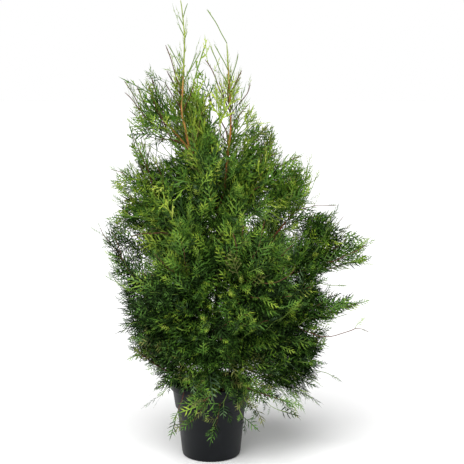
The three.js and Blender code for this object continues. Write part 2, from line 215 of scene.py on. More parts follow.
@dataclass
class Skin:
    """Vertices and faces that are gathered for one mesh."""

    vertices: list[np.ndarray] = field(default_factory=list)
    faces: Faces = field(default_factory=list)
    count: int = 0

    def add(self, vertices: np.ndarray, faces: Faces) -> None:
        """Adds one closed or open patch, whose faces count its own vertices from zero.

        Args:
            vertices: the patch's vertices, one a row.
            faces: its faces.
        """
        start = self.count
        self.vertices.append(np.asarray(vertices, float))
        self.faces.extend(tuple(i + start for i in face) for face in faces)
        self.count += len(vertices)

    def mesh(self, name: str) -> Mesh:
        """Returns the gathered patches as one mesh.

        Args:
            name: the mesh's name.
        """
        mesh = bpy.data.meshes.new(name)
        mesh.from_pydata(np.concatenate(self.vertices).tolist(), [], self.faces)
        mesh.update()
        return mesh


def place_piece(
    mesh: Mesh,
    name: str,
    nodes: list[str] | None = None,
    smooth: bool = True,
) -> Object:
    """Makes a finished mesh a piece of the plant that rides on the frame's one body.

    Args:
        mesh: the finished mesh, with its place in its vertices.
        name: the piece's name.
        nodes: the CAD nodes that the piece stands for.
        smooth: whether its faces are shaded as one rounded surface.

    Returns:
        The piece.
    """
    mesh.polygons.foreach_set("use_smooth", [smooth] * len(mesh.polygons))
    mesh.name = name
    piece = bpy.data.objects.new(name, mesh)
    bpy.context.scene.collection.objects.link(piece)
    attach(piece, ROOT)
    if nodes:
        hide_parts(*nodes)
    triangles = sum(len(p.vertices) - 2 for p in mesh.polygons)
    LOG.info("%s: %d triangles, stands for %d nodes", name, triangles, len(nodes or []))
    return piece


def evaluated(item: Object) -> Mesh:
    """Returns an object's mesh with its modifiers applied."""
    graph = bpy.context.evaluated_depsgraph_get()
    return bpy.data.meshes.new_from_object(item.evaluated_get(graph))


def ring_frames(points: np.ndarray) -> tuple[np.ndarray, np.ndarray, np.ndarray]:
    """Finds two directions across a path at each of its points, without a twist between them.

    Args:
        points: the path, one point a row.

    Returns:
        The path's headings, and two directions across it, one a row.
    """
    headings = unit(np.gradient(points, axis=0))
    side = np.cross(headings[0], UP if abs(headings[0][2]) < 0.9 else np.array([1.0, 0, 0]))
    sides = []
    for heading in headings:
        side = unit(side - heading * (side @ heading))
        sides.append(side)
    sides = np.array(sides)
    return headings, sides, np.cross(headings, sides)


def on_circle(radius: float, number: float, count: int) -> tuple[float, float]:
    """Returns where one of a count of even places round a circle lies."""
    angle = 2 * math.pi * number / count
    return radius * math.cos(angle), radius * math.sin(angle)


def ring_faces(rings: int, sides: int) -> Faces:
    """Joins rings of vertices, and closes both ends with a fan round a vertex in the middle.

    Args:
        rings: how many rings there are, one after another.
        sides: how many vertices a ring has.

    Returns:
        The faces. The two middle vertices follow the rings' own, the first ring's before the
        last ring's.
    """
    faces: Faces = []
    for i in range(rings - 1):
        for k in range(sides):
            a, b = i * sides + k, i * sides + (k + 1) % sides
            faces.append((a, b, b + sides, a + sides))
    top = (rings - 1) * sides
    first, last = rings * sides, rings * sides + 1
    for k in range(sides):
        following = (k + 1) % sides
        faces.append((first, following, k))
        faces.append((last, top + k, top + following))
    return faces


def tube(
    points: np.ndarray,
    radius: Callable[[int, float], float] | np.ndarray,
    sides: int,
) -> tuple[np.ndarray, Faces]:
    """Makes a closed tube along a path.

    Args:
        points: the path, one point a row.
        radius: a radius for each point, or a function of the point's number and the angle.
        sides: how many faces go round.

    Returns:
        The vertices, one a row, and the faces.
    """
    _, across, over = ring_frames(points)
    angles = [2 * math.pi * k / sides for k in range(sides)]
    table = isinstance(radius, np.ndarray)
    rings = []
    for i, point in enumerate(points):
        for angle in angles:
            size = radius[i] if table else radius(i, angle)
            rings.append(point + size * (math.cos(angle) * across[i] + math.sin(angle) * over[i]))
    vertices = np.array([*rings, points[0], points[-1]])
    return vertices, ring_faces(len(points), sides)


def node_mesh(name: str) -> tuple[np.ndarray, np.ndarray]:
    """Returns a CAD node's vertices and triangles, one a row.

    Args:
        name: the node's name.
    """
    mesh = frame["nodes"][name].data
    mesh.calc_loop_triangles()
    vertices = np.empty(len(mesh.vertices) * 3)
    mesh.vertices.foreach_get("co", vertices)
    triangles = np.empty(len(mesh.loop_triangles) * 3, int)
    mesh.loop_triangles.foreach_get("vertices", triangles)
    return vertices.reshape(-1, 3), triangles.reshape(-1, 3)


# ---- finishes


@dataclass(frozen=True)
class LeafFinish:
    """Thuja scale leaves: waxy and finely stepped, so that they spread light with a soft gloss.

    The colour is plain, because the sprays carry the tints: each spray has its own. The darker
    tones are partly a mass's own green and partly painted shade, dealt out deep in the crown; their
    lower gloss keeps them dark there.
    """

    name: str
    colour: str
    gloss: float = 0.26
    roughness: float = 0.5

    def material(self) -> Material:
        """Returns the finish as a material."""
        material, _, shader = new_material(self.name)
        shader.inputs["Base Color"].default_value = linear(self.colour)
        shader.inputs["Roughness"].default_value = self.roughness
        shader.inputs["Specular IOR Level"].default_value = self.gloss
        return material


@dataclass(frozen=True)
class TwigFinish:
    """Twig bark, thin and smooth, with a dull skin that has almost no gloss."""

    name: str
    colour: str
    gloss: float = 0.3
    roughness: float = 0.75

    def material(self) -> Material:
        """Returns the finish as a material."""
        material, _, shader = new_material(self.name)
        shader.inputs["Base Color"].default_value = linear(self.colour)
        shader.inputs["Roughness"].default_value = self.roughness
        shader.inputs["Specular IOR Level"].default_value = self.gloss
        return material


@dataclass(frozen=True)
class BarkFinish:
    """Thuja bark: thin, fibrous and dry, split into upright strips that catch light on their edges.

    Old wood near the soil is maroon, and turns red-brown, tan and at last green up the stem.
    """

    name: str = "fibrous_thuja_bark"
    heights: tuple[float, ...] = (0.15, 0.40, 0.60, 0.72, 0.82, 0.87)
    colours: tuple[str, ...] = ("#3d2520", "#5c2f24", "#9a5732", "#c8844a", "#cc9c5c", "#9db04e")
    fissure: str = "#2a1a15"
    fissure_range: tuple[float, float] = (0.30, 0.52)
    strip_width: float = 1.6 * MM
    strip_length: float = 16 * MM
    strip_depth: float = 0.6 * MM
    strip_strength: float = 0.7
    blotch: float = 30 * MM
    blotch_share: float = 0.12
    gloss: float = 0.25
    roughness: float = 0.82

    def material(self, height: float) -> Material:
        """Returns the finish as a material.

        Args:
            height: the plant's height, of which the colours' heights are shares.
        """
        material, tree, shader = new_material(self.name)
        place = add_node(tree, "ShaderNodeTexCoord").outputs["Object"]
        split = add_node(tree, "ShaderNodeSeparateXYZ", {"Vector": place})
        wander = add_node(
            tree,
            "ShaderNodeMath",
            {
                0: noise_at(tree, place, 1 / self.blotch, 3.0),
                1: self.blotch_share * height,
                2: split.outputs["Z"],
            },
            operation="MULTIPLY_ADD",
        )
        # The blotches raise the height by half their share on the mean, which is taken off again.
        raised = self.blotch_share / 2
        share = mapped(tree, wander.outputs[0], (raised * height, (1 + raised) * height))
        tint = add_node(tree, "ShaderNodeValToRGB", {"Fac": share})
        stops = tint.color_ramp.elements
        while len(stops) < len(self.colours):
            stops.new(0.5)
        for stop, position, colour in zip(stops, self.heights, self.colours):
            stop.position = position
            stop.color = linear(colour)
        width, length = 1 / self.strip_width, 1 / self.strip_length
        stretched = add_node(
            tree, "ShaderNodeMapping", {"Vector": place, "Scale": (width, width, length)}
        )
        strips = noise_at(tree, stretched.outputs["Vector"], 1.0, 4.0, 0.6)
        crack = mapped(tree, strips, self.fissure_range)
        colour = mixed(tree, crack, linear(self.fissure), tint.outputs["Color"])
        relief = bumped(tree, strips, self.strip_strength, self.strip_depth)
        tree.links.new(colour, shader.inputs["Base Color"])
        tree.links.new(relief, shader.inputs["Normal"])
        shader.inputs["Roughness"].default_value = self.roughness
        shader.inputs["Specular IOR Level"].default_value = self.gloss
        return material


@dataclass(frozen=True)
class PotPlasticFinish:
    """Black polypropylene, blow moulded: a satin skin with a fine grain and a film of dry dust."""

    name: str = "moulded_black_polypropylene"
    colour: str = "#0f1215"
    dust: str = "#24272b"
    dust_range: tuple[float, float] = (0.48, 0.80)
    dust_share: float = 0.45
    dust_dulling: float = 0.3
    grain: float = 0.7 * MM
    grain_depth: float = 0.15 * MM
    grain_strength: float = 0.25
    patch: float = 45 * MM
    gloss: float = 0.14
    roughness: float = 0.40

    def material(self) -> Material:
        """Returns the finish as a material."""
        material, tree, shader = new_material(self.name)
        place = add_node(tree, "ShaderNodeTexCoord").outputs["Object"]
        patches = noise_at(tree, place, 1 / self.patch, 5.0)
        film = mapped(tree, patches, self.dust_range, (0.0, self.dust_share))
        colour = mixed(tree, film, linear(self.colour), linear(self.dust))
        dullest = self.roughness + self.dust_dulling
        dull = mapped(tree, film, (0.0, 1.0), (self.roughness, dullest))
        grain = noise_at(tree, place, 1 / self.grain, 2.0)
        relief = bumped(tree, grain, self.grain_strength, self.grain_depth)
        tree.links.new(colour, shader.inputs["Base Color"])
        tree.links.new(dull, shader.inputs["Roughness"])
        tree.links.new(relief, shader.inputs["Normal"])
        shader.inputs["Specular IOR Level"].default_value = self.gloss
        return material


@dataclass(frozen=True)
class CompostFinish:
    """Peat compost, milled and moist: crumbly, nearly black-brown, with pale wood fibres in it."""

    name: str
    dark: str = "#21160f"
    light: str = "#4d3826"
    crumb: float = 3.5 * MM
    crumb_range: tuple[float, float] = (0.35, 0.72)
    crumb_depth: float = 1.5 * MM
    crumb_strength: float = 0.8
    gloss: float = 0.2
    roughness: float = 0.95

    def material(self) -> Material:
        """Returns the finish as a material."""
        material, tree, shader = new_material(self.name)
        place = add_node(tree, "ShaderNodeTexCoord").outputs["Object"]
        crumbs = noise_at(tree, place, 1 / self.crumb, 6.0, 0.65)
        share = mapped(tree, crumbs, self.crumb_range)
        colour = mixed(tree, share, linear(self.dark), linear(self.light))
        relief = bumped(tree, crumbs, self.crumb_strength, self.crumb_depth)
        tree.links.new(colour, shader.inputs["Base Color"])
        tree.links.new(relief, shader.inputs["Normal"])
        shader.inputs["Roughness"].default_value = self.roughness
        shader.inputs["Specular IOR Level"].default_value = self.gloss
        return material


# The leaf colours, from this year's tips to old inner scales; the darker ones are also dealt to
# sprays deep in the crown as painted shade. Each spray has one colour for its outer twiglets and
# the next one for the rest, so a spray may start at any but a pair's second.
LEAF_FINISHES = (
    LeafFinish("scale_leaf_lime_tip", "#bccb5a"),
    LeafFinish("scale_leaf_lime", "#98b038"),
    LeafFinish("scale_leaf_fresh", "#759731"),
    LeafFinish("scale_leaf_green", "#4d7526"),
    LeafFinish("scale_leaf_deep", "#2a4418", 0.12),
    LeafFinish("scale_leaf_inner", "#0e1c08", 0.05),
    LeafFinish("scale_leaf_olive_tip", "#7b8140"),
    LeafFinish("scale_leaf_olive", "#464c22", 0.15),
    LeafFinish("scale_leaf_blue_tip", "#567049"),
    LeafFinish("scale_leaf_blue", "#2c4426", 0.15),
)


# ---- limbs


@dataclass
class Limb:
    """One CAD stem or bough as a smooth centreline with a radius at each of its points."""

    name: str
    points: np.ndarray
    radii: np.ndarray

    STEP = 9 * MM
    END_SLICE = 4 * MM
    FIRST_RADIUS = 8 * MM
    FIRST_INSET = 1.5 * MM
    TURNING = 0.6
    TIP_SHARE = 0.45
    ROOT_SHARE = 1.25
    ROUGH_PASSES = 2
    FINE_PASSES = 6

    @staticmethod
    def _cut(
        starts: np.ndarray, ends: np.ndarray, point: np.ndarray, heading: np.ndarray, reach: float
    ) -> tuple[np.ndarray, float] | None:
        """Cuts the limb's edges with the plane across heading at point.

        Args:
            starts: one end of each edge.
            ends: the other end of each edge.
            point: a point of the plane, near the limb's centre.
            heading: the direction across the plane.
            reach: how far from point a crossing may be.

        Returns:
            The cut's centre and mean radius, or None past the limb's end.
        """
        before = (starts - point) @ heading
        after = (ends - point) @ heading
        crossing = (before * after) < 0
        share = before[crossing] / (before[crossing] - after[crossing])
        cuts = starts[crossing] + share[:, None] * (ends - starts)[crossing]
        cuts = cuts[np.linalg.norm(cuts - point, axis=1) < reach]
        if len(cuts) < 3:
            return None
        centre = cuts.mean(axis=0)
        return centre, float(np.linalg.norm(cuts - centre, axis=1).mean())

    @classmethod
    def traced(cls, name: str, parents: list["Limb"]) -> "Limb":
        """Follows a CAD node from its foot to its tip.

        Args:
            name: the node's name.
            parents: the limbs that it may grow from. With none, its foot is its lowest end.

        Returns:
            The limb.
        """
        vertices, triangles = node_mesh(name)
        pairs = np.concatenate([triangles[:, [0, 1]], triangles[:, [1, 2]], triangles[:, [2, 0]]])
        starts, ends = vertices[pairs[:, 0]], vertices[pairs[:, 1]]
        middle = vertices.mean(axis=0)
        axis = np.linalg.svd(vertices - middle, full_matrices=False)[2][0]
        along = (vertices - middle) @ axis
        first, last = along.min() + cls.END_SLICE, along.max() - cls.END_SLICE
        tips = [vertices[along < first], vertices[along > last]]
        if parents:
            wood = np.concatenate([p.points for p in parents])
            tips.sort(key=lambda t: np.linalg.norm(wood - t.mean(axis=0), axis=1).min())
        else:
            tips.sort(key=lambda t: t[:, 2].mean())
        point = tips[0].mean(axis=0)
        away = np.linalg.norm(vertices - point, axis=1)
        following = away[away > 2 * cls.STEP].min() + 3 * cls.STEP
        near = vertices[(away > 2 * cls.STEP) & (away < following)]
        heading = unit(near.mean(axis=0) - point)
        centres, radii = [], []
        radius = cls.FIRST_RADIUS
        point = point + heading * cls.FIRST_INSET
        while found := cls._cut(starts, ends, point, heading, 3 * radius + cls.FIRST_RADIUS):
            centre, radius = found
            centres.append(centre)
            radii.append(radius)
            if len(centres) > 1:
                ahead = unit(centres[-1] - centres[-2])
                heading = unit((1 - cls.TURNING) * heading + cls.TURNING * ahead)
            point = centre + heading * cls.STEP
        end = tips[1][np.argmax(tips[1] @ heading)]
        centres.append(end)
        radii.append(cls.TIP_SHARE * radii[-1])
        return cls(name, *cls._smoothed(np.array(centres), np.array(radii)))

    @classmethod
    def _smoothed(cls, points: np.ndarray, radii: np.ndarray) -> tuple[np.ndarray, np.ndarray]:
        """Evens out a traced centreline and sets a point every few millimetres along it.

        Args:
            points: the places, one a row.
            radii: the radius at each point.

        Returns:
            The even points and their radii.
        """
        for _ in range(cls.ROUGH_PASSES):
            points[1:-1] = (points[:-2] + 2 * points[1:-1] + points[2:]) / 4
        walked = np.concatenate([[0], np.cumsum(np.linalg.norm(np.diff(points, axis=0), axis=1))])
        evenly = np.linspace(0, walked[-1], max(4, int(walked[-1] / (cls.STEP / 2))))
        fine = np.stack([np.interp(evenly, walked, points[:, k]) for k in range(3)], axis=1)
        for _ in range(cls.FINE_PASSES):
            fine[1:-1] = (fine[:-2] + 2 * fine[1:-1] + fine[2:]) / 4
        return fine, np.interp(evenly, walked, radii)

    def rooted(self, depth: float) -> "Limb":
        """Returns the limb with its foot drawn out backwards, so that it sits in its parent.

        Args:
            depth: how far it is drawn out.
        """
        back = unit(self.points[0] - self.points[2])
        points = np.vstack([self.points[0] + back * depth, self.points])
        radii = np.concatenate([[self.radii[0] * self.ROOT_SHARE], self.radii])
        return Limb(self.name, points, radii)


@dataclass
class Limbs:
    """The trunk, the two stems beside it and the boughs, each with the relief of its bark."""

    sides: int = 12
    ridge_width: float = 2.2 * MM
    ridge_length: float = 22 * MM
    ridge_share: float = 0.16
    ridge_scale: float = 1.7
    lump_share: float = 0.10
    lumps_a_metre: float = 40.0
    lump_ridging: float = 0.2
    flare_lobes: int = 5
    flare_turn: float = 1.3
    flare_share: float = 0.14
    flare_height: float = 25 * MM
    collar_length: float = 9 * MM
    collar_share: float = 0.45
    root_depth: float = 5 * MM
    stems: dict[str, Limb] = field(default_factory=dict)
    boughs: dict[str, Limb] = field(default_factory=dict)

    def trace(self) -> None:
        """Follows every limb node of the frame."""
        self.stems["trunk"] = Limb.traced("trunk", [])
        for name in ("right_leader", "second_stem"):
            self.stems[name] = Limb.traced(name, [self.stems["trunk"]])
        for name in sorted(frame["nodes"]):
            if name.startswith("bough_"):
                self.boughs[name] = Limb.traced(name, list(self.stems.values()))
                LOG.info("%s: %.0f mm", name, self._length(self.boughs[name]) / MM)

    @staticmethod
    def _length(limb: Limb) -> float:
        """Returns the limb's length along its centreline."""
        return float(np.linalg.norm(np.diff(limb.points, axis=0), axis=1).sum())

    def every(self) -> list[Limb]:
        """Returns every limb, stems first."""
        return [*self.stems.values(), *self.boughs.values()]

    def _barked(self, limb: Limb, lobes: float) -> tuple[np.ndarray, Faces]:
        """Makes a limb's tube, with strips, lumps, a collar at its foot and any root flare.

        Args:
            limb: the centreline and radii.
            lobes: how strongly the foot is lobed, from zero to one.

        Returns:
            The vertices and the faces.
        """
        walked = np.concatenate(
            [[0], np.cumsum(np.linalg.norm(np.diff(limb.points, axis=0), axis=1))]
        )

        def radius(i: int, angle: float) -> float:
            """Returns the limb's radius at a point of its centreline and an angle round it.

            Args:
                i: the number of a point of the limb.
                angle: an angle round the limb.

            Returns:
                The skin's radius there.
            """
            size = limb.radii[i]
            across = size / self.ridge_width
            spot = Vector(
                (across * math.cos(angle), across * math.sin(angle), walked[i] / self.ridge_length)
            )
            ridge = noise.noise(spot * self.ridge_scale) * self.ridge_share
            place = Vector(limb.points[i]) * self.lumps_a_metre + spot * self.lump_ridging
            lump = noise.noise(place) * self.lump_share
            flare = math.cos(self.flare_lobes * angle + self.flare_turn) * self.flare_share * lobes
            flare *= math.exp(-walked[i] / self.flare_height)
            collar = 0 if lobes else math.exp(-walked[i] / self.collar_length) * self.collar_share
            return size * (1 + ridge + lump + flare + collar)

        return tube(limb.points, radius, self.sides)

    def build(self, bark: Material) -> None:
        """Builds the barked pieces in place of the limb nodes.

        Args:
            bark: the bark's finish.
        """
        trunk = self._barked(self.stems["trunk"], 1.0)
        self._place([trunk], "trunk_in_bark", "bark", ["trunk"], bark)
        for name, slot in (("right_leader", "young_bark"), ("second_stem", "bark")):
            stem = self._barked(self.stems[name].rooted(self.root_depth), 0.0)
            self._place([stem], name + "_in_bark", slot, [name], bark)
        boughs = [self._barked(b.rooted(self.root_depth), 0.0) for b in self.boughs.values()]
        self._place(boughs, "boughs_in_bark", "bark", list(self.boughs), bark)

    @staticmethod
    def _place(
        tubes: list[tuple[np.ndarray, Faces]],
        title: str,
        slot: str,
        nodes: list[str],
        bark: Material,
    ) -> None:
        """Makes one piece of some limbs' tubes, in place of their nodes.

        Args:
            tubes: the vertices and faces of each limb.
            title: the piece's name.
            slot: the record's material slot; not used.
            nodes: the CAD nodes that it stands for.
            bark: the bark's finish.
        """
        skin = Skin()
        for vertices, faces in tubes:
            skin.add(vertices, faces)
        mesh = skin.mesh(title)
        mesh.materials.append(bark)
        place_piece(mesh, title, nodes)


# ---- the crown's space


@dataclass
class Mass:
    """One foliage solid of the frame."""

    name: str
    slot: str
    vertices: np.ndarray
    triangles: np.ndarray

    @classmethod
    def of_node(cls, name: str, slot: str) -> "Mass":
        """Returns the mass that a CAD node bounds."""
        vertices, triangles = node_mesh(name)
        return cls(name, slot, vertices, triangles)

    def corners(self) -> tuple[np.ndarray, np.ndarray]:
        """Returns the solid's corners, each once, and the outward direction at each."""
        keys, back = np.unique(np.round(self.vertices, 5), axis=0, return_inverse=True)
        back = back.reshape(-1)
        a, b, c = (self.vertices[self.triangles[:, k]] for k in range(3))
        faces = np.cross(b - a, c - a)
        outward = np.zeros_like(keys)
        for k in range(3):
            np.add.at(outward, back[self.triangles[:, k]], faces)
        return keys, unit(outward)


class Crown:
    """The space that twigs and sprays may fill: the masses, and the narrow clefts between them.

    It is kept as a grid of small cells. Clefts that are narrower than twice the bridge are filled,
    and so is any place that has masses close on all four sides, in the depth of the crown. In the
    older, lower growth it is enough that a place has masses above it, below it and on two opposite
    sides, a little farther off. The pot counts as a mass there, but its own space stays free.
    """

    CELL = 8 * MM
    BRIDGE = 3
    LOW_SHARE = 0.60
    ENCLOSED = 11
    LOW_ENCLOSED = 16
    MARGIN = 18
    LAYER = 3
    DEEPEST = 9
    SKIN = 1 * MM

    def __init__(self, masses: list[Mass], top: float) -> None:
        """Fills the grid.

        Args:
            masses: every foliage solid.
            top: the plant's height.
        """
        self.masses = masses
        vertices = np.concatenate([m.vertices for m in masses])
        starts = np.cumsum([0, *[len(m.vertices) for m in masses[:-1]]])
        triangles = np.concatenate([m.triangles + start for m, start in zip(masses, starts)])
        self.owner = np.repeat(np.arange(len(masses)), [len(m.triangles) for m in masses])
        self.solid = BVHTree.FromPolygons(vertices.tolist(), triangles.tolist())
        self.origin = vertices.min(axis=0) - self.MARGIN * self.CELL
        reach = vertices.max(axis=0) + self.MARGIN * self.CELL - self.origin
        self.shape = tuple(int(n) for n in np.ceil(reach / self.CELL))
        masses_only = np.zeros(self.shape, bool)
        for mass in masses:
            solid = BVHTree.FromPolygons(mass.vertices.tolist(), mass.triangles.tolist())
            low = ((mass.vertices.min(axis=0) - self.origin) / self.CELL).astype(int)
            high = ((mass.vertices.max(axis=0) - self.origin) / self.CELL).astype(int) + 1
            for cell in np.ndindex(*(high - low)):
                spot = tuple(low + cell)
                centre = self.origin + (np.array(spot) + 0.5) * self.CELL
                if not masses_only[spot] and depth_in(solid, centre) > -self.SKIN:
                    masses_only[spot] = True
        heights = self.origin[2] + (np.arange(self.shape[2]) + 0.5) * self.CELL
        low = heights < self.LOW_SHARE * top
        closed = ~self._spread(~self._spread(masses_only, self.BRIDGE), self.BRIDGE)
        potted = self._potted()
        solid = masses_only | potted
        enclosed = self._between(solid, 0, self.ENCLOSED) & self._between(solid, 1, self.ENCLOSED)
        across = self._between(solid, 0, self.LOW_ENCLOSED)
        over = self._between(solid, 2, self.LOW_ENCLOSED)
        through = self._between(solid, 1, self.LOW_ENCLOSED)
        low_enclosed = over & (across | through) & low
        self.filled = (masses_only | closed | enclosed | low_enclosed) & ~potted
        self._measure_layers()
        self.depth = self.filled.astype(int)
        for steps in range(1, self.DEEPEST):
            self.depth += ~self._spread(~self.filled, steps)

    def _potted(self) -> np.ndarray:
        """Returns the cells that the pot takes up, with a little room round it."""
        low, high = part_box("pot")
        middle = (low + high) / 2
        spots = [self.origin[k] + (np.arange(self.shape[k]) + 0.5) * self.CELL for k in range(3)]
        x, y, z = np.meshgrid(*spots, indexing="ij")
        radius = (high.x - low.x) / 2 + self.CELL / 2
        level = (z > low.z) & (z < high.z + self.CELL / 2)
        return (np.hypot(x - middle.x, y - middle.y) < radius) & level

    @staticmethod
    def _spread(cells: np.ndarray, steps: int) -> np.ndarray:
        """Returns the cells grown by a number of steps in all directions.

        Args:
            cells: a grid of true and false.
            steps: how many steps it grows.
        """
        grown = cells.copy()
        for step in range(steps):
            wider = grown.copy()
            for axis in range(3):
                source = grown if step % 2 == 0 else wider.copy()
                wider |= np.roll(source, 1, axis) | np.roll(source, -1, axis)
            grown = wider
        return grown

    @staticmethod
    def _between(cells: np.ndarray, axis: int, reach: int) -> np.ndarray:
        """Returns the cells that have a filled one within reach on both ways of an axis.

        Args:
            cells: a grid of true and false.
            axis: the grid's axis.
            reach: how many cells off the filled ones may be.
        """
        before, behind = np.zeros_like(cells), np.zeros_like(cells)
        for step in range(1, reach + 1):
            before |= np.roll(cells, step, axis)
            behind |= np.roll(cells, -step, axis)
        return before & behind

    def _cells(self, points: np.ndarray) -> tuple[np.ndarray, ...]:
        """Returns the grid numbers of points, one a row."""
        numbers = ((points - self.origin) / self.CELL).astype(int)
        return tuple(np.clip(numbers, 0, np.array(self.shape) - 1).T)

    def holds(self, points: np.ndarray) -> np.ndarray:
        """Returns which points are in the crown's space."""
        return self.filled[self._cells(points)]

    def depths(self, points: np.ndarray) -> np.ndarray:
        """Returns how many cells deep in the crown's space points are, none being outside."""
        return self.depth[self._cells(points)]

    def _measure_layers(self) -> None:
        """Keeps the middle and the half width and depth of the crown at each level of the grid."""
        middles, halves = [], []
        for level in range(self.shape[2]):
            lowest, highest = max(level - self.LAYER, 0), level + self.LAYER
            layer = self.filled[:, :, lowest : highest + 1].any(axis=2)
            spots = np.argwhere(layer) if layer.any() else np.argwhere(self.filled.any(axis=2))
            low = self.origin[:2] + spots.min(axis=0) * self.CELL
            high = self.origin[:2] + (spots.max(axis=0) + 1) * self.CELL
            middles.append((low + high) / 2)
            halves.append((high - low) / 2)
        self.middles, self.halves = np.array(middles), np.array(halves)

    def edge_share(self, points: np.ndarray) -> np.ndarray:
        """Returns how far out points are, from zero at the crown's middle to one at its outline.

        Args:
            points: the points, one a row.
        """
        levels = self._cells(points)[2]
        off = (points[:, :2] - self.middles[levels]) / self.halves[levels]
        return np.minimum(np.linalg.norm(off, axis=1), 1.0)

    def nearest_mass(self, point: np.ndarray) -> Mass:
        """Returns the mass whose surface is nearest to a point."""
        number = self.solid.find_nearest(Vector(point))[2]
        return self.masses[self.owner[number]]

    def strewn(self, count: int, chance: Generator) -> np.ndarray:
        """Returns random points in the crown's space, from a count of tries in each filled cell.

        Args:
            count: how many tries a cell gets.
            chance: the seeded source of random numbers.
        """
        cells = np.argwhere(self.filled)
        cells = cells[chance.permutation(np.repeat(np.arange(len(cells)), count))]
        return self.origin + (cells + chance.random(cells.shape)) * self.CELL


def depth_in(solid: BVHTree, point: np.ndarray) -> float:
    """Returns how far a point is inside a solid, or minus how far it is outside.

    Args:
        solid: a closed solid.
        point: the place.
    """
    near, normal, _, distance = solid.find_nearest(Vector(point))
    inside = (near - Vector(point)).dot(normal) > 0
    return distance if inside else -distance


# ---- twigs


@dataclass
class Growth:
    """The twigs: a point and a parent for each, the first ones being on a limb."""

    points: np.ndarray
    parents: np.ndarray
    rooted: int

    def children(self) -> list[list[int]]:
        """Returns the numbers of the points that grow from each point."""
        found: list[list[int]] = [[] for _ in self.points]
        for i in range(self.rooted, len(self.points)):
            found[self.parents[i]].append(i)
        return found

    def headings(self) -> np.ndarray:
        """Returns the direction in which each twig point grew from its parent."""
        return unit(self.points - self.points[np.maximum(self.parents, 0)])


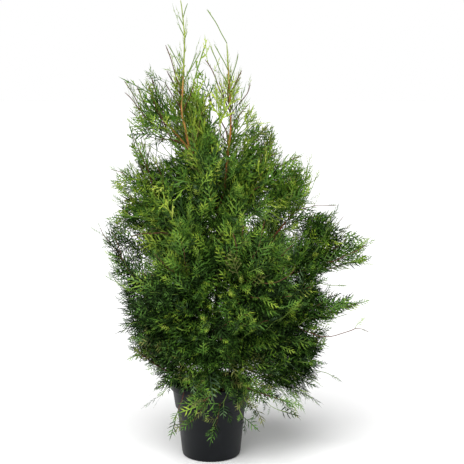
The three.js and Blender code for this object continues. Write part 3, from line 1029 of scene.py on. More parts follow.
@dataclass
class TwigRule:
    """How twigs fill the crown: they grow step by step from the limbs towards its free places.

    A place pulls on the twig point that is nearest to it, counted less where the twig would grow
    the way it leans, until a twig comes close. Then the place is taken. At the crown's outline a
    twig never steps out of the crown's space: the places that pull it there are given up.
    """

    # How steeply growth leans up, and how strongly outwards, at shares of the plant's height.
    RISE_AT = (0.16, 0.30, 0.50, 0.75)
    RISE = (-0.3, 0.3, 0.9, 1.0)
    SPREAD_AT = (0.30, 0.60, 0.85)
    SPREAD = (1.0, 0.6, 0.2)

    step: float = 10 * MM
    taken: float = 15 * MM
    close: float = 19 * MM
    close_below: float = 0.50
    close_within: float = 0.7
    open_from: float = 0.60
    open_to: float = 0.85
    edge_from: float = 0.6
    edge_open: float = 0.45
    free_below: float = 0.20
    kept_from: float = 0.75
    dense: float = 23 * MM
    sparse: float = 33 * MM
    tries: int = 3
    cover: float = 1 * MM
    tip_insets: tuple[float, ...] = (34 * MM, 22 * MM, 12 * MM)
    bare_foot: float = 22 * MM
    leaning: float = 0.5
    leaning_to: float = 0.62
    top_leaning: float = 0.86
    top_leaning_from: float = 0.86
    bending: float = 0.25
    wander: float = 0.16
    rounds: int = 90
    crowd: int = 3
    easing_passes: int = 3

    def places(self, crown: Crown, top: float, chance: Generator) -> np.ndarray:
        """Strews free places through the crown, and one behind each tip of a mass.

        Args:
            crown: the space to fill.
            top: the plant's height.
            chance: the seeded source of random numbers.

        Returns:
            The places, one a row.
        """
        found = []
        for mass in crown.masses:
            for corner, outward in zip(*mass.corners()):
                for inset in self.tip_insets:
                    if depth_in(crown.solid, corner - outward * inset) > self.cover:
                        found.append(corner - outward * inset)
                        break
        found.extend(crown.strewn(self.tries, chance))
        room: dict[tuple[int, int, int], list[np.ndarray]] = {}
        kept = []
        edges = crown.edge_share(np.array(found))
        for point, edge in zip(found, edges):
            high = ramp(point[2] / top, self.open_from, self.open_to)
            outer = self.edge_open * ramp(edge, self.edge_from, 1.0)
            gap = self.dense + (self.sparse - self.dense) * max(high, outer)
            if point[2] < self.close_below * top and edge < self.close_within:
                gap = self.close
            cell = tuple((point // self.sparse).astype(int))
            around = [
                other
                for i, j, k in product((-1, 0, 1), repeat=3)
                for other in room.get((cell[0] + i, cell[1] + j, cell[2] + k), ())
            ]
            if around and np.linalg.norm(np.array(around) - point, axis=1).min() < gap:
                continue
            room.setdefault(cell, []).append(point)
            kept.append(point)
        return np.array(kept)

    def lean(self, points: np.ndarray, top: float) -> np.ndarray:
        """Returns the heading that growth leans to: outwards low on the plant, upright at its top.

        Args:
            points: one point, or one point a row.
            top: the plant's height.

        Returns:
            A heading of length one for each point.
        """
        share = points[..., 2:3] / top
        out = unit(points * np.array([1.0, 1.0, 0.0]))
        rise = np.interp(share, self.RISE_AT, self.RISE)
        spread = np.interp(share, self.SPREAD_AT, self.SPREAD)
        return unit(rise * UP + spread * out)

    def grow(self, crown: Crown, limbs: list[Limb], top: float) -> Growth:
        """Grows the twigs from the limbs.

        Args:
            crown: the space to fill.
            limbs: every limb of the plant.
            top: the plant's height.

        Returns:
            The twigs.
        """
        chance = np.random.default_rng(SEED)
        places = self.places(crown, top, chance)
        levels = (self.leaning_to, self.top_leaning_from)
        leaning = np.interp(places[:, 2:] / top, levels, (self.leaning, self.top_leaning))
        leans = self.lean(places, top) * leaning
        wood = np.concatenate([limb.points for limb in limbs])
        points = [wood[wood[:, 2] > wood[:, 2].min() + self.bare_foot]]
        parents = [-1] * len(points[0])
        rooted = len(parents)
        cost = np.full(len(places), np.inf)
        nearest = np.zeros(len(places), int)
        fresh, first = points[0], 0
        for _ in range(self.rounds):
            between = places[:, None] - fresh[None]
            away = np.linalg.norm(between, axis=2)
            price = away - (between * leans[:, None]).sum(axis=2)
            better = price.min(axis=1) < cost
            nearest[better] = first + price.argmin(axis=1)[better]
            cost[better] = price.min(axis=1)[better]
            free = away.min(axis=1) > self.taken
            if first == 0:
                free[:] = away.min(axis=1) > self.step
            places, leans, cost, nearest = places[free], leans[free], cost[free], nearest[free]
            if not len(places):
                break
            grown = np.concatenate(points)
            first = len(grown)
            new, stuck = [], np.zeros(len(places), bool)
            for parent in np.unique(nearest):
                pull = unit(places[nearest == parent] - grown[parent]).mean(axis=0)
                heading = unit(pull) + self.bending * self.lean(grown[parent], top)
                heading = unit(heading + chance.normal(0, self.wander, 3))
                tip = grown[parent] + heading * self.step
                if self._leaves(crown, grown[parent], tip, top):
                    stuck |= nearest == parent
                    continue
                new.append(tip)
                parents.append(int(parent))
            free = ~stuck
            places, leans, cost, nearest = places[free], leans[free], cost[free], nearest[free]
            if not new:
                break
            fresh = np.array(new)
            points.append(fresh)
        LOG.info("twigs: %d points grown, %d places left", len(parents) - rooted, len(places))
        return self._eased(self._pruned(Growth(np.concatenate(points), np.array(parents), rooted)))

    def _leaves(self, crown: Crown, parent: np.ndarray, tip: np.ndarray, top: float) -> bool:
        """Returns whether a step from parent to tip leaves the crown's space at its outline.

        Args:
            crown: the space to fill.
            parent: where the twig ends now.
            tip: where it would end.
            top: the plant's height.
        """
        if tip[2] <= self.free_below * top or not crown.holds(parent[None])[0]:
            return False
        return not crown.holds(tip[None])[0] and crown.edge_share(tip[None])[0] > self.kept_from

    def _pruned(self, growth: Growth) -> Growth:
        """Drops limb points that nothing grew from, and spurs of one step at a crowded point.

        Args:
            growth: the twigs as they grew.

        Returns:
            The twigs that are kept.
        """
        children = growth.children()
        keep = np.ones(len(growth.points), bool)
        for i in range(growth.rooted):
            keep[i] = bool(children[i])
        for i in range(growth.rooted, len(growth.points)):
            siblings = children[growth.parents[i]]
            keep[i] = bool(children[i]) or len(siblings) < self.crowd
        numbers = np.cumsum(keep) - 1
        parents = growth.parents[keep]
        parents = np.where(parents >= 0, numbers[np.maximum(parents, 0)], -1)
        return Growth(growth.points[keep], parents, int(keep[: growth.rooted].sum()))

    def _eased(self, growth: Growth) -> Growth:
        """Evens out the zigzag of the twigs, while limb points and twig ends stay put.

        Args:
            growth: the twigs.

        Returns:
            The same twigs, evened out.
        """
        children = growth.children()
        for _ in range(self.easing_passes):
            points = growth.points.copy()
            for i in range(growth.rooted, len(points)):
                if children[i]:
                    ahead = growth.points[children[i]].mean(axis=0)
                    points[i] = (points[growth.parents[i]] + 2 * growth.points[i] + ahead) / 4
            growth.points = points
        return growth


@dataclass
class Twigs:
    """All twigs as tapering tubes, woody ones and young green ones each in a piece of its own."""

    tip_radius: float = 0.8 * MM
    clad_radius: float = 1.2 * MM
    clad_from: float = 0.70
    clad_to: float = 0.86
    branching: float = 2.4
    thickening: float = 1.004
    thickest: float = 2.3 * MM
    end_share: float = 0.5
    woody_from: float = 1.15 * MM
    green_above: float = 0.80
    sides: int = 5

    def radii(self, growth: Growth, top: float) -> np.ndarray:
        """Returns each twig point's radius, from how many twig ends it feeds.

        High on the plant the twigs are clad in scale leaves, which makes their ends thicker.

        Args:
            growth: the twigs.
            top: the plant's height.
        """
        clad = np.array([ramp(p[2] / top, self.clad_from, self.clad_to) for p in growth.points])
        ends = self.tip_radius + clad * (self.clad_radius - self.tip_radius)
        load = ends**self.branching
        total = np.zeros(len(growth.points))
        for i in range(len(growth.points) - 1, growth.rooted - 1, -1):
            load[i] = max(load[i], total[i])
            total[growth.parents[i]] += load[i] * self.thickening
        load[: growth.rooted] = np.maximum(load[: growth.rooted], total[: growth.rooted])
        return np.minimum(load ** (1 / self.branching), self.thickest)

    def chains(self, growth: Growth, radii: np.ndarray) -> list[list[int]]:
        """Splits a growth into unbranched runs of points, each from its parent to a twig end.

        Args:
            growth: the twigs.
            radii: the radius at each point.

        Returns:
            The numbers of each run's points.
        """
        children = growth.children()
        main = [max(c, key=lambda k: radii[k]) if c else -1 for c in children]
        found = []
        for i in range(growth.rooted, len(growth.points)):
            parent = growth.parents[i]
            if parent >= growth.rooted and main[parent] == i:
                continue
            chain = [int(parent), i]
            while main[chain[-1]] >= 0:
                chain.append(main[chain[-1]])
            found.append(chain)
        return found

    def build(self, growth: Growth, top: float, woody: Material, young: Material) -> None:
        """Builds the two twig pieces.

        Args:
            growth: the twigs.
            top: the plant's height.
            woody: the finish of brown twigs.
            young: the finish of green twigs.
        """
        skins = {"woody": Skin(), "young": Skin()}
        radii = self.radii(growth, top)
        for chain in self.chains(growth, radii):
            sizes = radii[chain].copy()
            sizes[0] = sizes[1]
            sizes[-1] *= self.end_share
            path = growth.points[chain]
            high = path[0][2] > self.green_above * top
            kind = "young" if high or sizes[0] < self.woody_from else "woody"
            sides = self.sides if sizes[0] > self.woody_from else self.sides - 1
            skins[kind].add(*tube(path, sizes, sides))
        for kind, finish, slot in (("woody", woody, "bark"), ("young", young, "young_bark")):
            mesh = skins[kind].mesh("twigs_" + kind)
            mesh.materials.append(finish)
            place_piece(mesh, "twigs_" + kind)


# ---- sprays


class Part(Enum):
    """Which of a spray's two colours a face has."""

    OUTER = 0
    INNER = 1


@dataclass(frozen=True)
class SprayKind:
    """One kind of flat, fern-like spray: a rachis with side shoots that carry twiglets.

    Lengths are real ones. A twiglet is a thin blade of two faces in its own outline, a little
    wider than life, so that it shows.
    """

    # The blade's widest place and fold, the rachis, and where on it the side shoots are.
    SHOULDER = 0.62
    FOLD = 0.18
    RACHIS_WIDTHS = (1.6 * MM, 1.8 * MM, 2.0 * MM, 2.2 * MM, 2.4 * MM)
    SHOOT_FOOT = 1.5 * MM
    BARE_SHARE = 0.12
    CLAD_SHARE = 0.86
    SHORTEST = 5 * MM
    YOUNG_SHOOT = 12 * MM
    YOUNG_FROM = 0.45
    YOUNG_TWIGLET_FROM = 0.35

    # How one variant may differ from another, and how shoots and twiglets stand off and curl.
    BEND = 0.10
    TWIST = 0.18
    ARCH_RANGE = (0.5, 1.3)
    SHOOT_RANGE = (0.84, 1.10)
    TWIGLET_RANGE = (0.7, 1.2)
    DROOP = 0.6
    CURL = 0.16
    ANGLE_SCATTER = 4
    TWIGLET_ANGLE = 38

    name: str
    length: float
    spacing: float
    side_share: float
    twiglet_spacing: float
    twiglet_share: float
    arch: float
    angle: float = 46.0
    blade: float = 2.3 * MM
    variants: int = 5

    def _blade(
        self,
        skin: Skin,
        parts: list[int],
        base: np.ndarray,
        tip: np.ndarray,
        width: float,
        part: Part,
    ) -> None:
        """Adds one kite-shaped twiglet of two faces, folded a little along its middle.

        Args:
            skin: the mesh to add to.
            parts: the colour of each face so far, to add to.
            base: the blade's foot.
            tip: its tip.
            width: its greatest width.
            part: which colour it has.
        """
        along = tip - base
        across = unit(np.array([-along[1], along[0], 0.0])) * width / 2
        shoulder = base + self.SHOULDER * along
        fold = np.array([0, 0, self.FOLD * width])
        skin.add(
            np.array([base, shoulder + across + fold, tip, shoulder - across + fold]),
            [(0, 2, 1), (0, 3, 2)],
        )
        parts.extend([part.value] * 2)

    def _strip(
        self,
        skin: Skin,
        parts: list[int],
        path: np.ndarray,
        widths: tuple[float, ...],
        part: Part,
    ) -> None:
        """Adds a flat strip along a path, which ends in a point.

        Args:
            skin: the mesh to add to.
            parts: the colour of each face so far, to add to.
            path: the strip's middle line, one point a row.
            widths: its width at each point but the last.
            part: which colour it has.
        """
        headings = unit(np.gradient(path, axis=0))
        across = unit(np.stack([-headings[:, 1], headings[:, 0], np.zeros(len(path))], axis=1))
        rows = []
        for point, side, width in zip(path[:-1], across, widths):
            rows += [point + side * width / 2, point - side * width / 2]
        count = len(path) - 1
        faces: Faces = [(2 * i, 2 * i + 1, 2 * i + 3, 2 * i + 2) for i in range(count - 1)]
        faces.append((2 * count - 2, 2 * count - 1, 2 * count))
        skin.add(np.array([*rows, path[-1]]), faces)
        parts.extend([part.value] * len(faces))

    @staticmethod
    def _turned(heading: np.ndarray, degrees: float) -> np.ndarray:
        """Returns a flat heading turned to the left by an angle.

        Args:
            heading: a direction of length one.
            degrees: the angle, to the left.
        """
        turn = math.radians(degrees)
        return np.array(
            [
                heading[0] * math.cos(turn) - heading[1] * math.sin(turn),
                heading[0] * math.sin(turn) + heading[1] * math.cos(turn),
            ]
        )

    def pattern(self, number: int) -> Object:
        """Makes one variant of the spray, lying along Y with its face up.

        Args:
            number: the variant's number, which seeds it.

        Returns:
            An object for Geometry Nodes to set on twigs. It isn't in the scene.
        """
        chance = np.random.default_rng(SEED + 31 * number + len(self.name) * 1009)
        skin, parts = Skin(), []
        bend = chance.uniform(-self.BEND, self.BEND)
        arch = self.arch * chance.uniform(*self.ARCH_RANGE)
        twist = chance.uniform(-self.TWIST, self.TWIST)

        def lie(x: float, y: float) -> np.ndarray:
            """Returns the place of a point of the flat spray once it is bent, arched and twisted.

            Args:
                x: how far the point is from the rachis.
                y: how far along the rachis it is.
            """
            share = y / self.length
            side = x + bend * share**2 * self.length
            height = -arch * share**2 * self.length + twist * x * share
            return np.array([side, y, height - self.DROOP * abs(x) * arch])

        spine = np.array([lie(0, y) for y in np.linspace(0, self.length, 6)])
        self._strip(skin, parts, spine, self.RACHIS_WIDTHS, Part.INNER)
        count = int(self.length * self.CLAD_SHARE / self.spacing)
        hand = 1 if chance.random() < 0.5 else -1
        for k in range(count):
            share = self.BARE_SHARE + self.CLAD_SHARE * (k + chance.uniform(0.35, 0.65)) / count
            hand = -hand
            outline = math.sin(math.pi * min(share * 0.95 + 0.22, 1.0)) ** 0.8
            reach = self.side_share * self.length * outline * chance.uniform(*self.SHOOT_RANGE)
            if reach < self.SHORTEST:
                continue
            slant = self.angle * (1.15 - 0.45 * share) + chance.normal(0, self.ANGLE_SCATTER)
            heading = np.array([hand * math.sin(math.radians(slant)), math.cos(math.radians(slant))])
            start = np.array([0.0, share * self.length])
            curl = np.array([0.0, self.CURL * reach])
            line = [start, start + heading * reach * 0.5, start + heading * reach + curl]
            path = np.array([lie(*p) for p in line])
            young = share > self.YOUNG_FROM or reach < self.YOUNG_SHOOT
            part = Part.OUTER if young else Part.INNER
            self._strip(skin, parts, path, (self.SHOOT_FOOT, self.blade), part)
            steps = int(reach / self.twiglet_spacing)
            side = -1
            for j in range(1, steps + 1):
                along = (j - 0.35) / (steps + 0.4)
                side = -side
                root = line[0] + heading * reach * along + curl * along**2
                grown = chance.uniform(*self.TWIGLET_RANGE)
                small = max(self.twiglet_share * reach * (1.05 - along) * grown, self.SHORTEST)
                far = root + self._turned(heading, self.TWIGLET_ANGLE * side) * small
                outer = Part.OUTER if along > self.YOUNG_TWIGLET_FROM else part
                self._blade(skin, parts, lie(*root), lie(*far), self.blade, outer)
        mesh = skin.mesh(f"{self.name}_{number:02d}")
        shade = mesh.attributes.new("shade", "INT", "FACE")
        shade.data.foreach_set("value", parts)
        return bpy.data.objects.new(mesh.name, mesh)


SPRAY_KINDS = (
    SprayKind("spray_a_whip", 90 * MM, 16 * MM, 0.24, 15 * MM, 0.34, 0.06, 32.0, 3.0 * MM),
    SprayKind("spray_b_antler", 80 * MM, 11 * MM, 0.34, 10 * MM, 0.46, 0.08, 38.0, 3.0 * MM, 6),
    SprayKind("spray_c_comb", 64 * MM, 5.2 * MM, 0.32, 30 * MM, 0.30, 0.12, 54.0, 2.9 * MM),
    SprayKind("spray_d_fern", 100 * MM, 6.4 * MM, 0.30, 13 * MM, 0.34, 0.16, 54.0, 3.0 * MM, 6),
    SprayKind("spray_e_fan", 138 * MM, 8.0 * MM, 0.31, 11 * MM, 0.34, 0.20, 50.0, 3.0 * MM, 6),
)
WHIP, ANTLER, COMB, FERN, FAN = range(len(SPRAY_KINDS))


@dataclass
class SprayPlan:
    """Where the sprays of one piece go, and which pattern, size, turn and tone each one has."""

    points: list[np.ndarray] = field(default_factory=list)
    turns: list[tuple[float, float, float, float]] = field(default_factory=list)
    sizes: list[float] = field(default_factory=list)
    variants: list[int] = field(default_factory=list)
    tones: list[int] = field(default_factory=list)

    @classmethod
    def joined(cls, plans: list["SprayPlan"]) -> "SprayPlan":
        """Returns several plans as one.

        Args:
            plans: the plans.
        """
        one = cls()
        for plan in plans:
            for title in ("points", "turns", "sizes", "variants", "tones"):
                getattr(one, title).extend(getattr(plan, title))
        return one

    def carrier(self, name: str) -> Object:
        """Returns an object whose loose vertices carry the plan for Geometry Nodes.

        Args:
            name: the object's name.
        """
        mesh = bpy.data.meshes.new(name)
        mesh.from_pydata([p.tolist() for p in self.points], [], [])
        columns = (
            ("turn", "QUATERNION", np.array(self.turns).ravel()),
            ("size", "FLOAT", np.array(self.sizes)),
            ("variant", "INT", np.array(self.variants)),
            ("tone", "INT", np.array(self.tones)),
        )
        for title, kind, values in columns:
            mesh.attributes.new(title, kind, "POINT").data.foreach_set("value", values)
        return bpy.data.objects.new(name, mesh)


class SprayTree:
    """The Geometry Nodes tree that sets a spray on each carried point and gives it its colours."""

    def __init__(self, palette: list[Material]) -> None:
        """Builds the tree.

        Args:
            palette: the leaf finishes, in the order that the tones count them.
        """
        self.tree = bpy.data.node_groups.new("set_sprays_on_twigs", "GeometryNodeTree")
        face = self.tree.interface
        face.new_socket("Twig points", in_out="INPUT", socket_type="NodeSocketGeometry")
        self.patterns = face.new_socket(
            "Spray patterns", in_out="INPUT", socket_type="NodeSocketCollection"
        ).identifier
        self.scale = face.new_socket(
            "Spray scale", in_out="INPUT", socket_type="NodeSocketFloat"
        ).identifier
        face.new_socket("Sprays", in_out="OUTPUT", socket_type="NodeSocketGeometry")
        entry = add_node(self.tree, "NodeGroupInput")
        patterns = add_node(
            self.tree,
            "GeometryNodeCollectionInfo",
            {"Collection": entry.outputs["Spray patterns"], 1: True, 2: True},
        )
        size = add_node(
            self.tree,
            "ShaderNodeMath",
            {0: self._named("size", "FLOAT"), 1: entry.outputs["Spray scale"]},
            operation="MULTIPLY",
        )
        placed = add_node(
            self.tree,
            "GeometryNodeInstanceOnPoints",
            {
                "Points": entry.outputs["Twig points"],
                "Instance": patterns.outputs[0],
                "Pick Instance": True,
                "Instance Index": self._named("variant", "INT"),
                "Rotation": self._named("turn", "QUATERNION"),
                "Scale": size.outputs[0],
            },
        )
        real = add_node(
            self.tree, "GeometryNodeRealizeInstances", {"Geometry": placed.outputs["Instances"]}
        )
        colour = add_node(
            self.tree,
            "ShaderNodeMath",
            {0: self._named("tone", "INT"), 1: self._named("shade", "INT")},
            operation="ADD",
        )
        flow = real.outputs["Geometry"]
        for number, material in enumerate(palette):
            chosen = add_node(
                self.tree,
                "FunctionNodeCompare",
                {"A": colour.outputs[0], "B": float(number), "Epsilon": 0.25},
                data_type="FLOAT",
                operation="EQUAL",
            )
            painted = add_node(
                self.tree,
                "GeometryNodeSetMaterial",
                {"Geometry": flow, "Selection": chosen.outputs[0], "Material": material},
            )
            flow = painted.outputs["Geometry"]
        add_node(self.tree, "NodeGroupOutput", {0: flow})

    def _named(self, name: str, kind: str) -> NodeSocket:
        """Returns the output of a node that reads a named attribute.

        Args:
            name: the attribute's name.
            kind: the attribute's type.
        """
        node = add_node(
            self.tree, "GeometryNodeInputNamedAttribute", {"Name": name}, data_type=kind
        )
        return node.outputs["Attribute"]

    def realised(self, carrier: Object, patterns: Collection, scale: float) -> Mesh:
        """Runs the tree on one carrier.

        Args:
            carrier: the object that carries the plan's points.
            patterns: the collection of spray patterns.
            scale: a factor on every spray's size.

        Returns:
            The sprays as one plain mesh.
        """
        bpy.context.scene.collection.objects.link(carrier)
        modifier = carrier.modifiers.new("sprays", "NODES")
        modifier.node_group = self.tree
        modifier[self.patterns] = patterns
        modifier[self.scale] = scale
        mesh = evaluated(carrier)
        carrier.modifiers.remove(modifier)
        for title in ("turn", "size", "variant", "tone", "shade"):
            if title in mesh.attributes:
                mesh.attributes.remove(mesh.attributes[title])
        bpy.data.objects.remove(carrier)
        return mesh


@dataclass
class Foliage:
    """The crown's sprays: set along the twigs, longest where they have room to the outline.

    It holds the crown's space, the leading stems, the rule that the twigs grew by, and the
    plant's height.
    """

    crown: Crown
    stems: dict[str, Limb]
    rule: TwigRule
    top: float
    outside: float = 2 * MM
    longest: float = 140 * MM
    shortest: float = 30 * MM
    least: float = 22 * MM
    room_range: tuple[float, float] = (0.85, 1.04)
    end_length: float = 30 * MM
    shoot_length: float = 45 * MM
    shoot_share: float = 0.3
    hanging_length: float = 62 * MM
    probe: float = 6 * MM
    spread_angle: float = 50.0
    spread_scatter: float = 10.0
    side_rise: float = 0.6
    side_scatter: float = 0.6
    side_lean: float = 0.25
    side_out: float = 0.2
    set_share: float = 0.88
    twice_share: float = 0.6
    dense_depth: int = 2
    end_steps: int = 3
    end_lean: float = 0.3
    hang_below: float = 0.17
    hang: float = 0.3
    open_from: float = 0.66
    open_to: float = 0.88
    open_share: float = 0.45
    edge_from: float = 0.55
    edge_to: float = 0.95
    edge_low: float = 0.20
    edge_high: float = 0.36
    edge_share: float = 0.35
    face_out: float = 1.0
    face_up: float = 0.35
    face_scatter: float = 0.28
    face_narrowing: float = 0.9
    # Painted shade: how many cells of depth in the crown darken a spray by one tone, how strongly low
    # down, and the heights over which that fades out.
    cells_a_tone: float = 1.9
    low_shade: float = 1.2
    shade_from: float = 0.40
    shade_to: float = 0.68
    antler_from: float = 0.40
    antler_to: float = 0.72
    antler_share: float = 0.8
    whip_from: float = 0.74
    whip_to: float = 0.88
    whip_share: float = 0.9
    bare_width: float = 10 * MM
    veil_share: float = 0.85
    back_from: float = 30 * MM

    # The shares of a spray's length at which it is tested for hanging before a bare stem.
    SPOTS = np.array([[0.2], [0.4], [0.6], [0.8], [1.0]])

    # The stretches of stem that show between the sprays, as shares of the plant's height.
    BARE = (("trunk", 0.70, 0.88), ("trunk", 0.26, 0.46), ("right_leader", 0.56, 0.76))

    # How often each tone is dealt out to the sprays of a record slot. A tone is a number in the
    # list of leaf finishes. Those up to the darkest are one row, from light to dark.
    DARKEST = 4
    DEALT = {
        "foliage_lime": ((0, 0.40), (1, 0.40), (2, 0.16), (6, 0.04)),
        "foliage_fresh": ((0, 0.10), (1, 0.34), (2, 0.38), (3, 0.12), (6, 0.06)),
        "foliage_green": ((0, 0.05), (1, 0.18), (2, 0.38), (3, 0.30), (4, 0.05), (8, 0.04)),
        "foliage_deep": ((1, 0.09), (2, 0.24), (3, 0.32), (4, 0.16), (6, 0.11), (8, 0.08)),
    }

    def _room(self, point: np.ndarray, heading: np.ndarray) -> float:
        """Returns how far the crown goes on from a point along a heading, up to the longest.

        Args:
            point: where the spray starts.
            heading: where it points.
        """
        reach = np.arange(self.probe, self.longest + self.probe, self.probe)
        inside = self.crown.holds(point + heading * reach[:, None])
        return float(self.longest if inside.all() else reach[np.argmin(inside)] - 0.5 * self.probe)

    def _back_along(self, growth: Growth, children: list[list[int]], end: int) -> int:
        """Returns the point a few steps back from a twig's end, where its last spray starts.

        Args:
            growth: the twigs.
            children: the points that grow from each point.
            end: the last point's number.
        """
        spot = end
        for _ in range(self.end_steps):
            parent = int(growth.parents[spot])
            if parent < growth.rooted or len(children[parent]) > 1:
                break
            spot = parent
        return spot if spot != end else int(growth.parents[end])

    def _veils(self, spots: np.ndarray) -> bool:
        """Returns whether any of a spray's spots hangs in front of a bare stretch of a stem.

        Args:
            spots: the spray's spots, one a row.
        """
        for name, low, high in self.BARE:
            stem = self.stems[name].points
            for x, y, z in spots:
                near = stem[np.argmin(abs(stem[:, 2] - z))]
                before = abs(x - near[0]) < self.bare_width and y < near[1]
                if before and low * self.top < z < high * self.top:
                    return True
        return False

    def _tone(self, slot: str, depth: int, height: float, chance: Generator) -> int:
        """Deals a tone to a spray of a slot, with painted shade: darker in the crown's depth, above
        all low down.

        Args:
            slot: the record slot of the spray's mass.
            depth: how many cells deep in the crown the spray is.
            height: its share of the plant's height.
            chance: the seeded source of random numbers.

        Returns:
            The tone's number.
        """
        tones, weights = zip(*self.DEALT[slot])
        tone = int(chance.choice(tones, p=np.array(weights) / sum(weights)))
        # Painted shade: the tone steps darker with the spray's depth in the crown, most of all low on
        # the plant.
        shade = self.low_shade * (1 - ramp(height, self.shade_from, self.shade_to))
        darker = int(max(depth - 1, 0) / self.cells_a_tone * shade + chance.random())
        if slot == "foliage_lime" and height < self.open_from:
            darker += 1
        if tone > self.DARKEST:
            return tone if darker < 2 else self.DARKEST
        return min(tone + darker, self.DARKEST)

    def _kind(self, length: float, height: float, chance: Generator) -> tuple[int, float]:
        """Picks a spray pattern for a length.

        Args:
            length: how long the spray is to be.
            height: its place as a share of the plant's height.
            chance: the seeded source of random numbers.

        Returns:
            The pattern's number in the collection, and its scale.
        """
        kinds = [COMB, FERN, FAN]
        if chance.random() < ramp(height, self.antler_from, self.antler_to) * self.antler_share:
            kinds = [ANTLER]
        if chance.random() < ramp(height, self.whip_from, self.whip_to) * self.whip_share:
            kinds = [WHIP]
        best = min(kinds, key=lambda k: abs(math.log(SPRAY_KINDS[k].length / length)))
        first = sum(kind.variants for kind in SPRAY_KINDS[:best])
        variant = first + int(chance.integers(SPRAY_KINDS[best].variants))
        return variant, length / SPRAY_KINDS[best].length

    def _end_length(self, height: float, chance: Generator) -> float:
        """Returns a twig's last spray's least length: more for a shoot, and most where it hangs.

        Args:
            height: the spray's share of the plant's height.
            chance: the seeded source of random numbers.
        """
        if height < self.hang_below:
            return self.hanging_length
        return self.shoot_length if chance.random() < self.shoot_share else self.end_length

    def _set_spray(
        self,
        plans: dict[str, SprayPlan],
        point: np.ndarray,
        heading: np.ndarray,
        ending: bool,
        chance: Generator,
    ) -> None:
        """Adds one spray to the plan of its mass, if it has room at that point and heading.

        Args:
            plans: the plan of each foliage solid.
            point: where the spray starts.
            heading: where it points.
            ending: whether it is the last one of its twig.
            chance: the seeded source of random numbers.
        """
        height = point[2] / self.top
        room = self._room(point, heading)
        length = min((room + self.outside) * chance.uniform(*self.room_range), self.longest)
        if length < self.least and not ending:
            return
        if ending:
            length = max(length, self._end_length(height, chance))
        length = max(length, self.shortest)
        spots = point + heading * length * self.SPOTS
        if self._veils(spots) and chance.random() < self.veil_share:
            return
        radial = unit(np.array([point[0] * self.face_narrowing, point[1], 0.0]))
        normal = self.face_out * radial + self.face_up * UP
        normal = normal + chance.normal(0, self.face_scatter, 3)
        normal = unit(normal - heading * (normal @ heading))
        side = np.cross(heading, normal)
        turn = Matrix(np.stack([side, heading, normal], axis=1).tolist()).to_quaternion()
        variant, size = self._kind(length, height, chance)
        middle = point + heading * 0.5 * length
        mass = self.crown.nearest_mass(middle)
        plan = plans[mass.name]
        plan.points.append(point)
        plan.turns.append(tuple(turn))
        plan.sizes.append(size)
        plan.variants.append(variant)
        depth = int(self.crown.depths(middle[None])[0])
        plan.tones.append(self._tone(mass.slot, depth, height, chance))

    def _opened(self, height: float, edge: float) -> float:
        """Returns how much of the foliage is left, less at the top and at the outline.

        Args:
            height: a place's share of the plant's height.
            edge: how far out it is, from zero to one.
        """
        left = 1 - (1 - self.open_share) * ramp(height, self.open_from, self.open_to)
        outer = ramp(edge, self.edge_from, self.edge_to)
        outer = outer * ramp(height, self.edge_low, self.edge_high)
        return left * (1 - (1 - self.edge_share) * outer)

    def plan(self, growth: Growth) -> dict[str, SprayPlan]:
        """Plans the sprays, gathered by the foliage solid that they are nearest to.

        Args:
            growth: the twigs.

        Returns:
            A plan for each foliage solid.
        """
        chance = np.random.default_rng(SEED + 2)
        plans = {mass.name: SprayPlan() for mass in self.crown.masses}
        children = growth.children()
        headings = growth.headings()
        edges = self.crown.edge_share(growth.points)
        depths = self.crown.depths(growth.points)
        hand = 1
        for i in range(growth.rooted, len(growth.points)):
            point, heading = growth.points[i], headings[i]
            lean = self.rule.lean(point, self.top)
            if not children[i]:
                start = growth.points[self._back_along(growth, children, i)]
                ahead = unit(point - start + self.shortest * self.end_lean * lean)
                self._set_spray(plans, start, ahead, True, chance)
            if chance.random() > self.set_share * self._opened(point[2] / self.top, edges[i]):
                continue
            within = depths[i] > self.dense_depth and point[2] < self.open_from * self.top
            for _ in range(2 if within and chance.random() < self.twice_share else 1):
                hand = -hand
                radial = unit(np.array([point[0], point[1], 0.0]))
                face = unit(radial + self.side_rise * UP + chance.normal(0, self.side_scatter, 3))
                across = unit(np.cross(heading, face)) * hand
                angle = math.radians(self.spread_angle + chance.normal(0, self.spread_scatter))
                out = heading * math.cos(angle) + across * math.sin(angle)
                if point[2] < self.hang_below * self.top:
                    out = unit(out - self.hang * UP)
                else:
                    out = unit(out + self.side_lean * lean + self.side_out * radial)
                self._set_spray(plans, point, out, False, chance)
        return plans

    def build(self, growth: Growth, palette: list[Material]) -> None:
        """Builds the spray pieces in place of the foliage nodes, by slot and by front or back.

        Args:
            growth: the twigs.
            palette: the leaf finishes.
        """
        patterns = bpy.data.collections.new("spray_patterns")
        for kind in SPRAY_KINDS:
            for number in range(kind.variants):
                patterns.objects.link(kind.pattern(number))
        tree = SprayTree(palette)
        plans = self.plan(growth)
        groups: dict[tuple[str, str], list[str]] = {}
        for mass in self.crown.masses:
            place = "back" if mass.vertices[:, 1].mean() > self.back_from else "front"
            groups.setdefault((mass.slot, place), []).append(mass.name)
        for (slot, place), names in sorted(groups.items()):
            title = slot.replace("foliage_", "sprays_") + "_" + place
            plan = SprayPlan.joined([plans[name] for name in names])
            mesh = tree.realised(plan.carrier(title + "_points"), patterns, 1.0)
            place_piece(mesh, title, names, smooth=False)
            LOG.info("%s: %d sprays", title, len(plan.points))
        for pattern in list(patterns.objects):
            bpy.data.objects.remove(pattern)
        bpy.data.collections.remove(patterns)


# ---- pot and compost


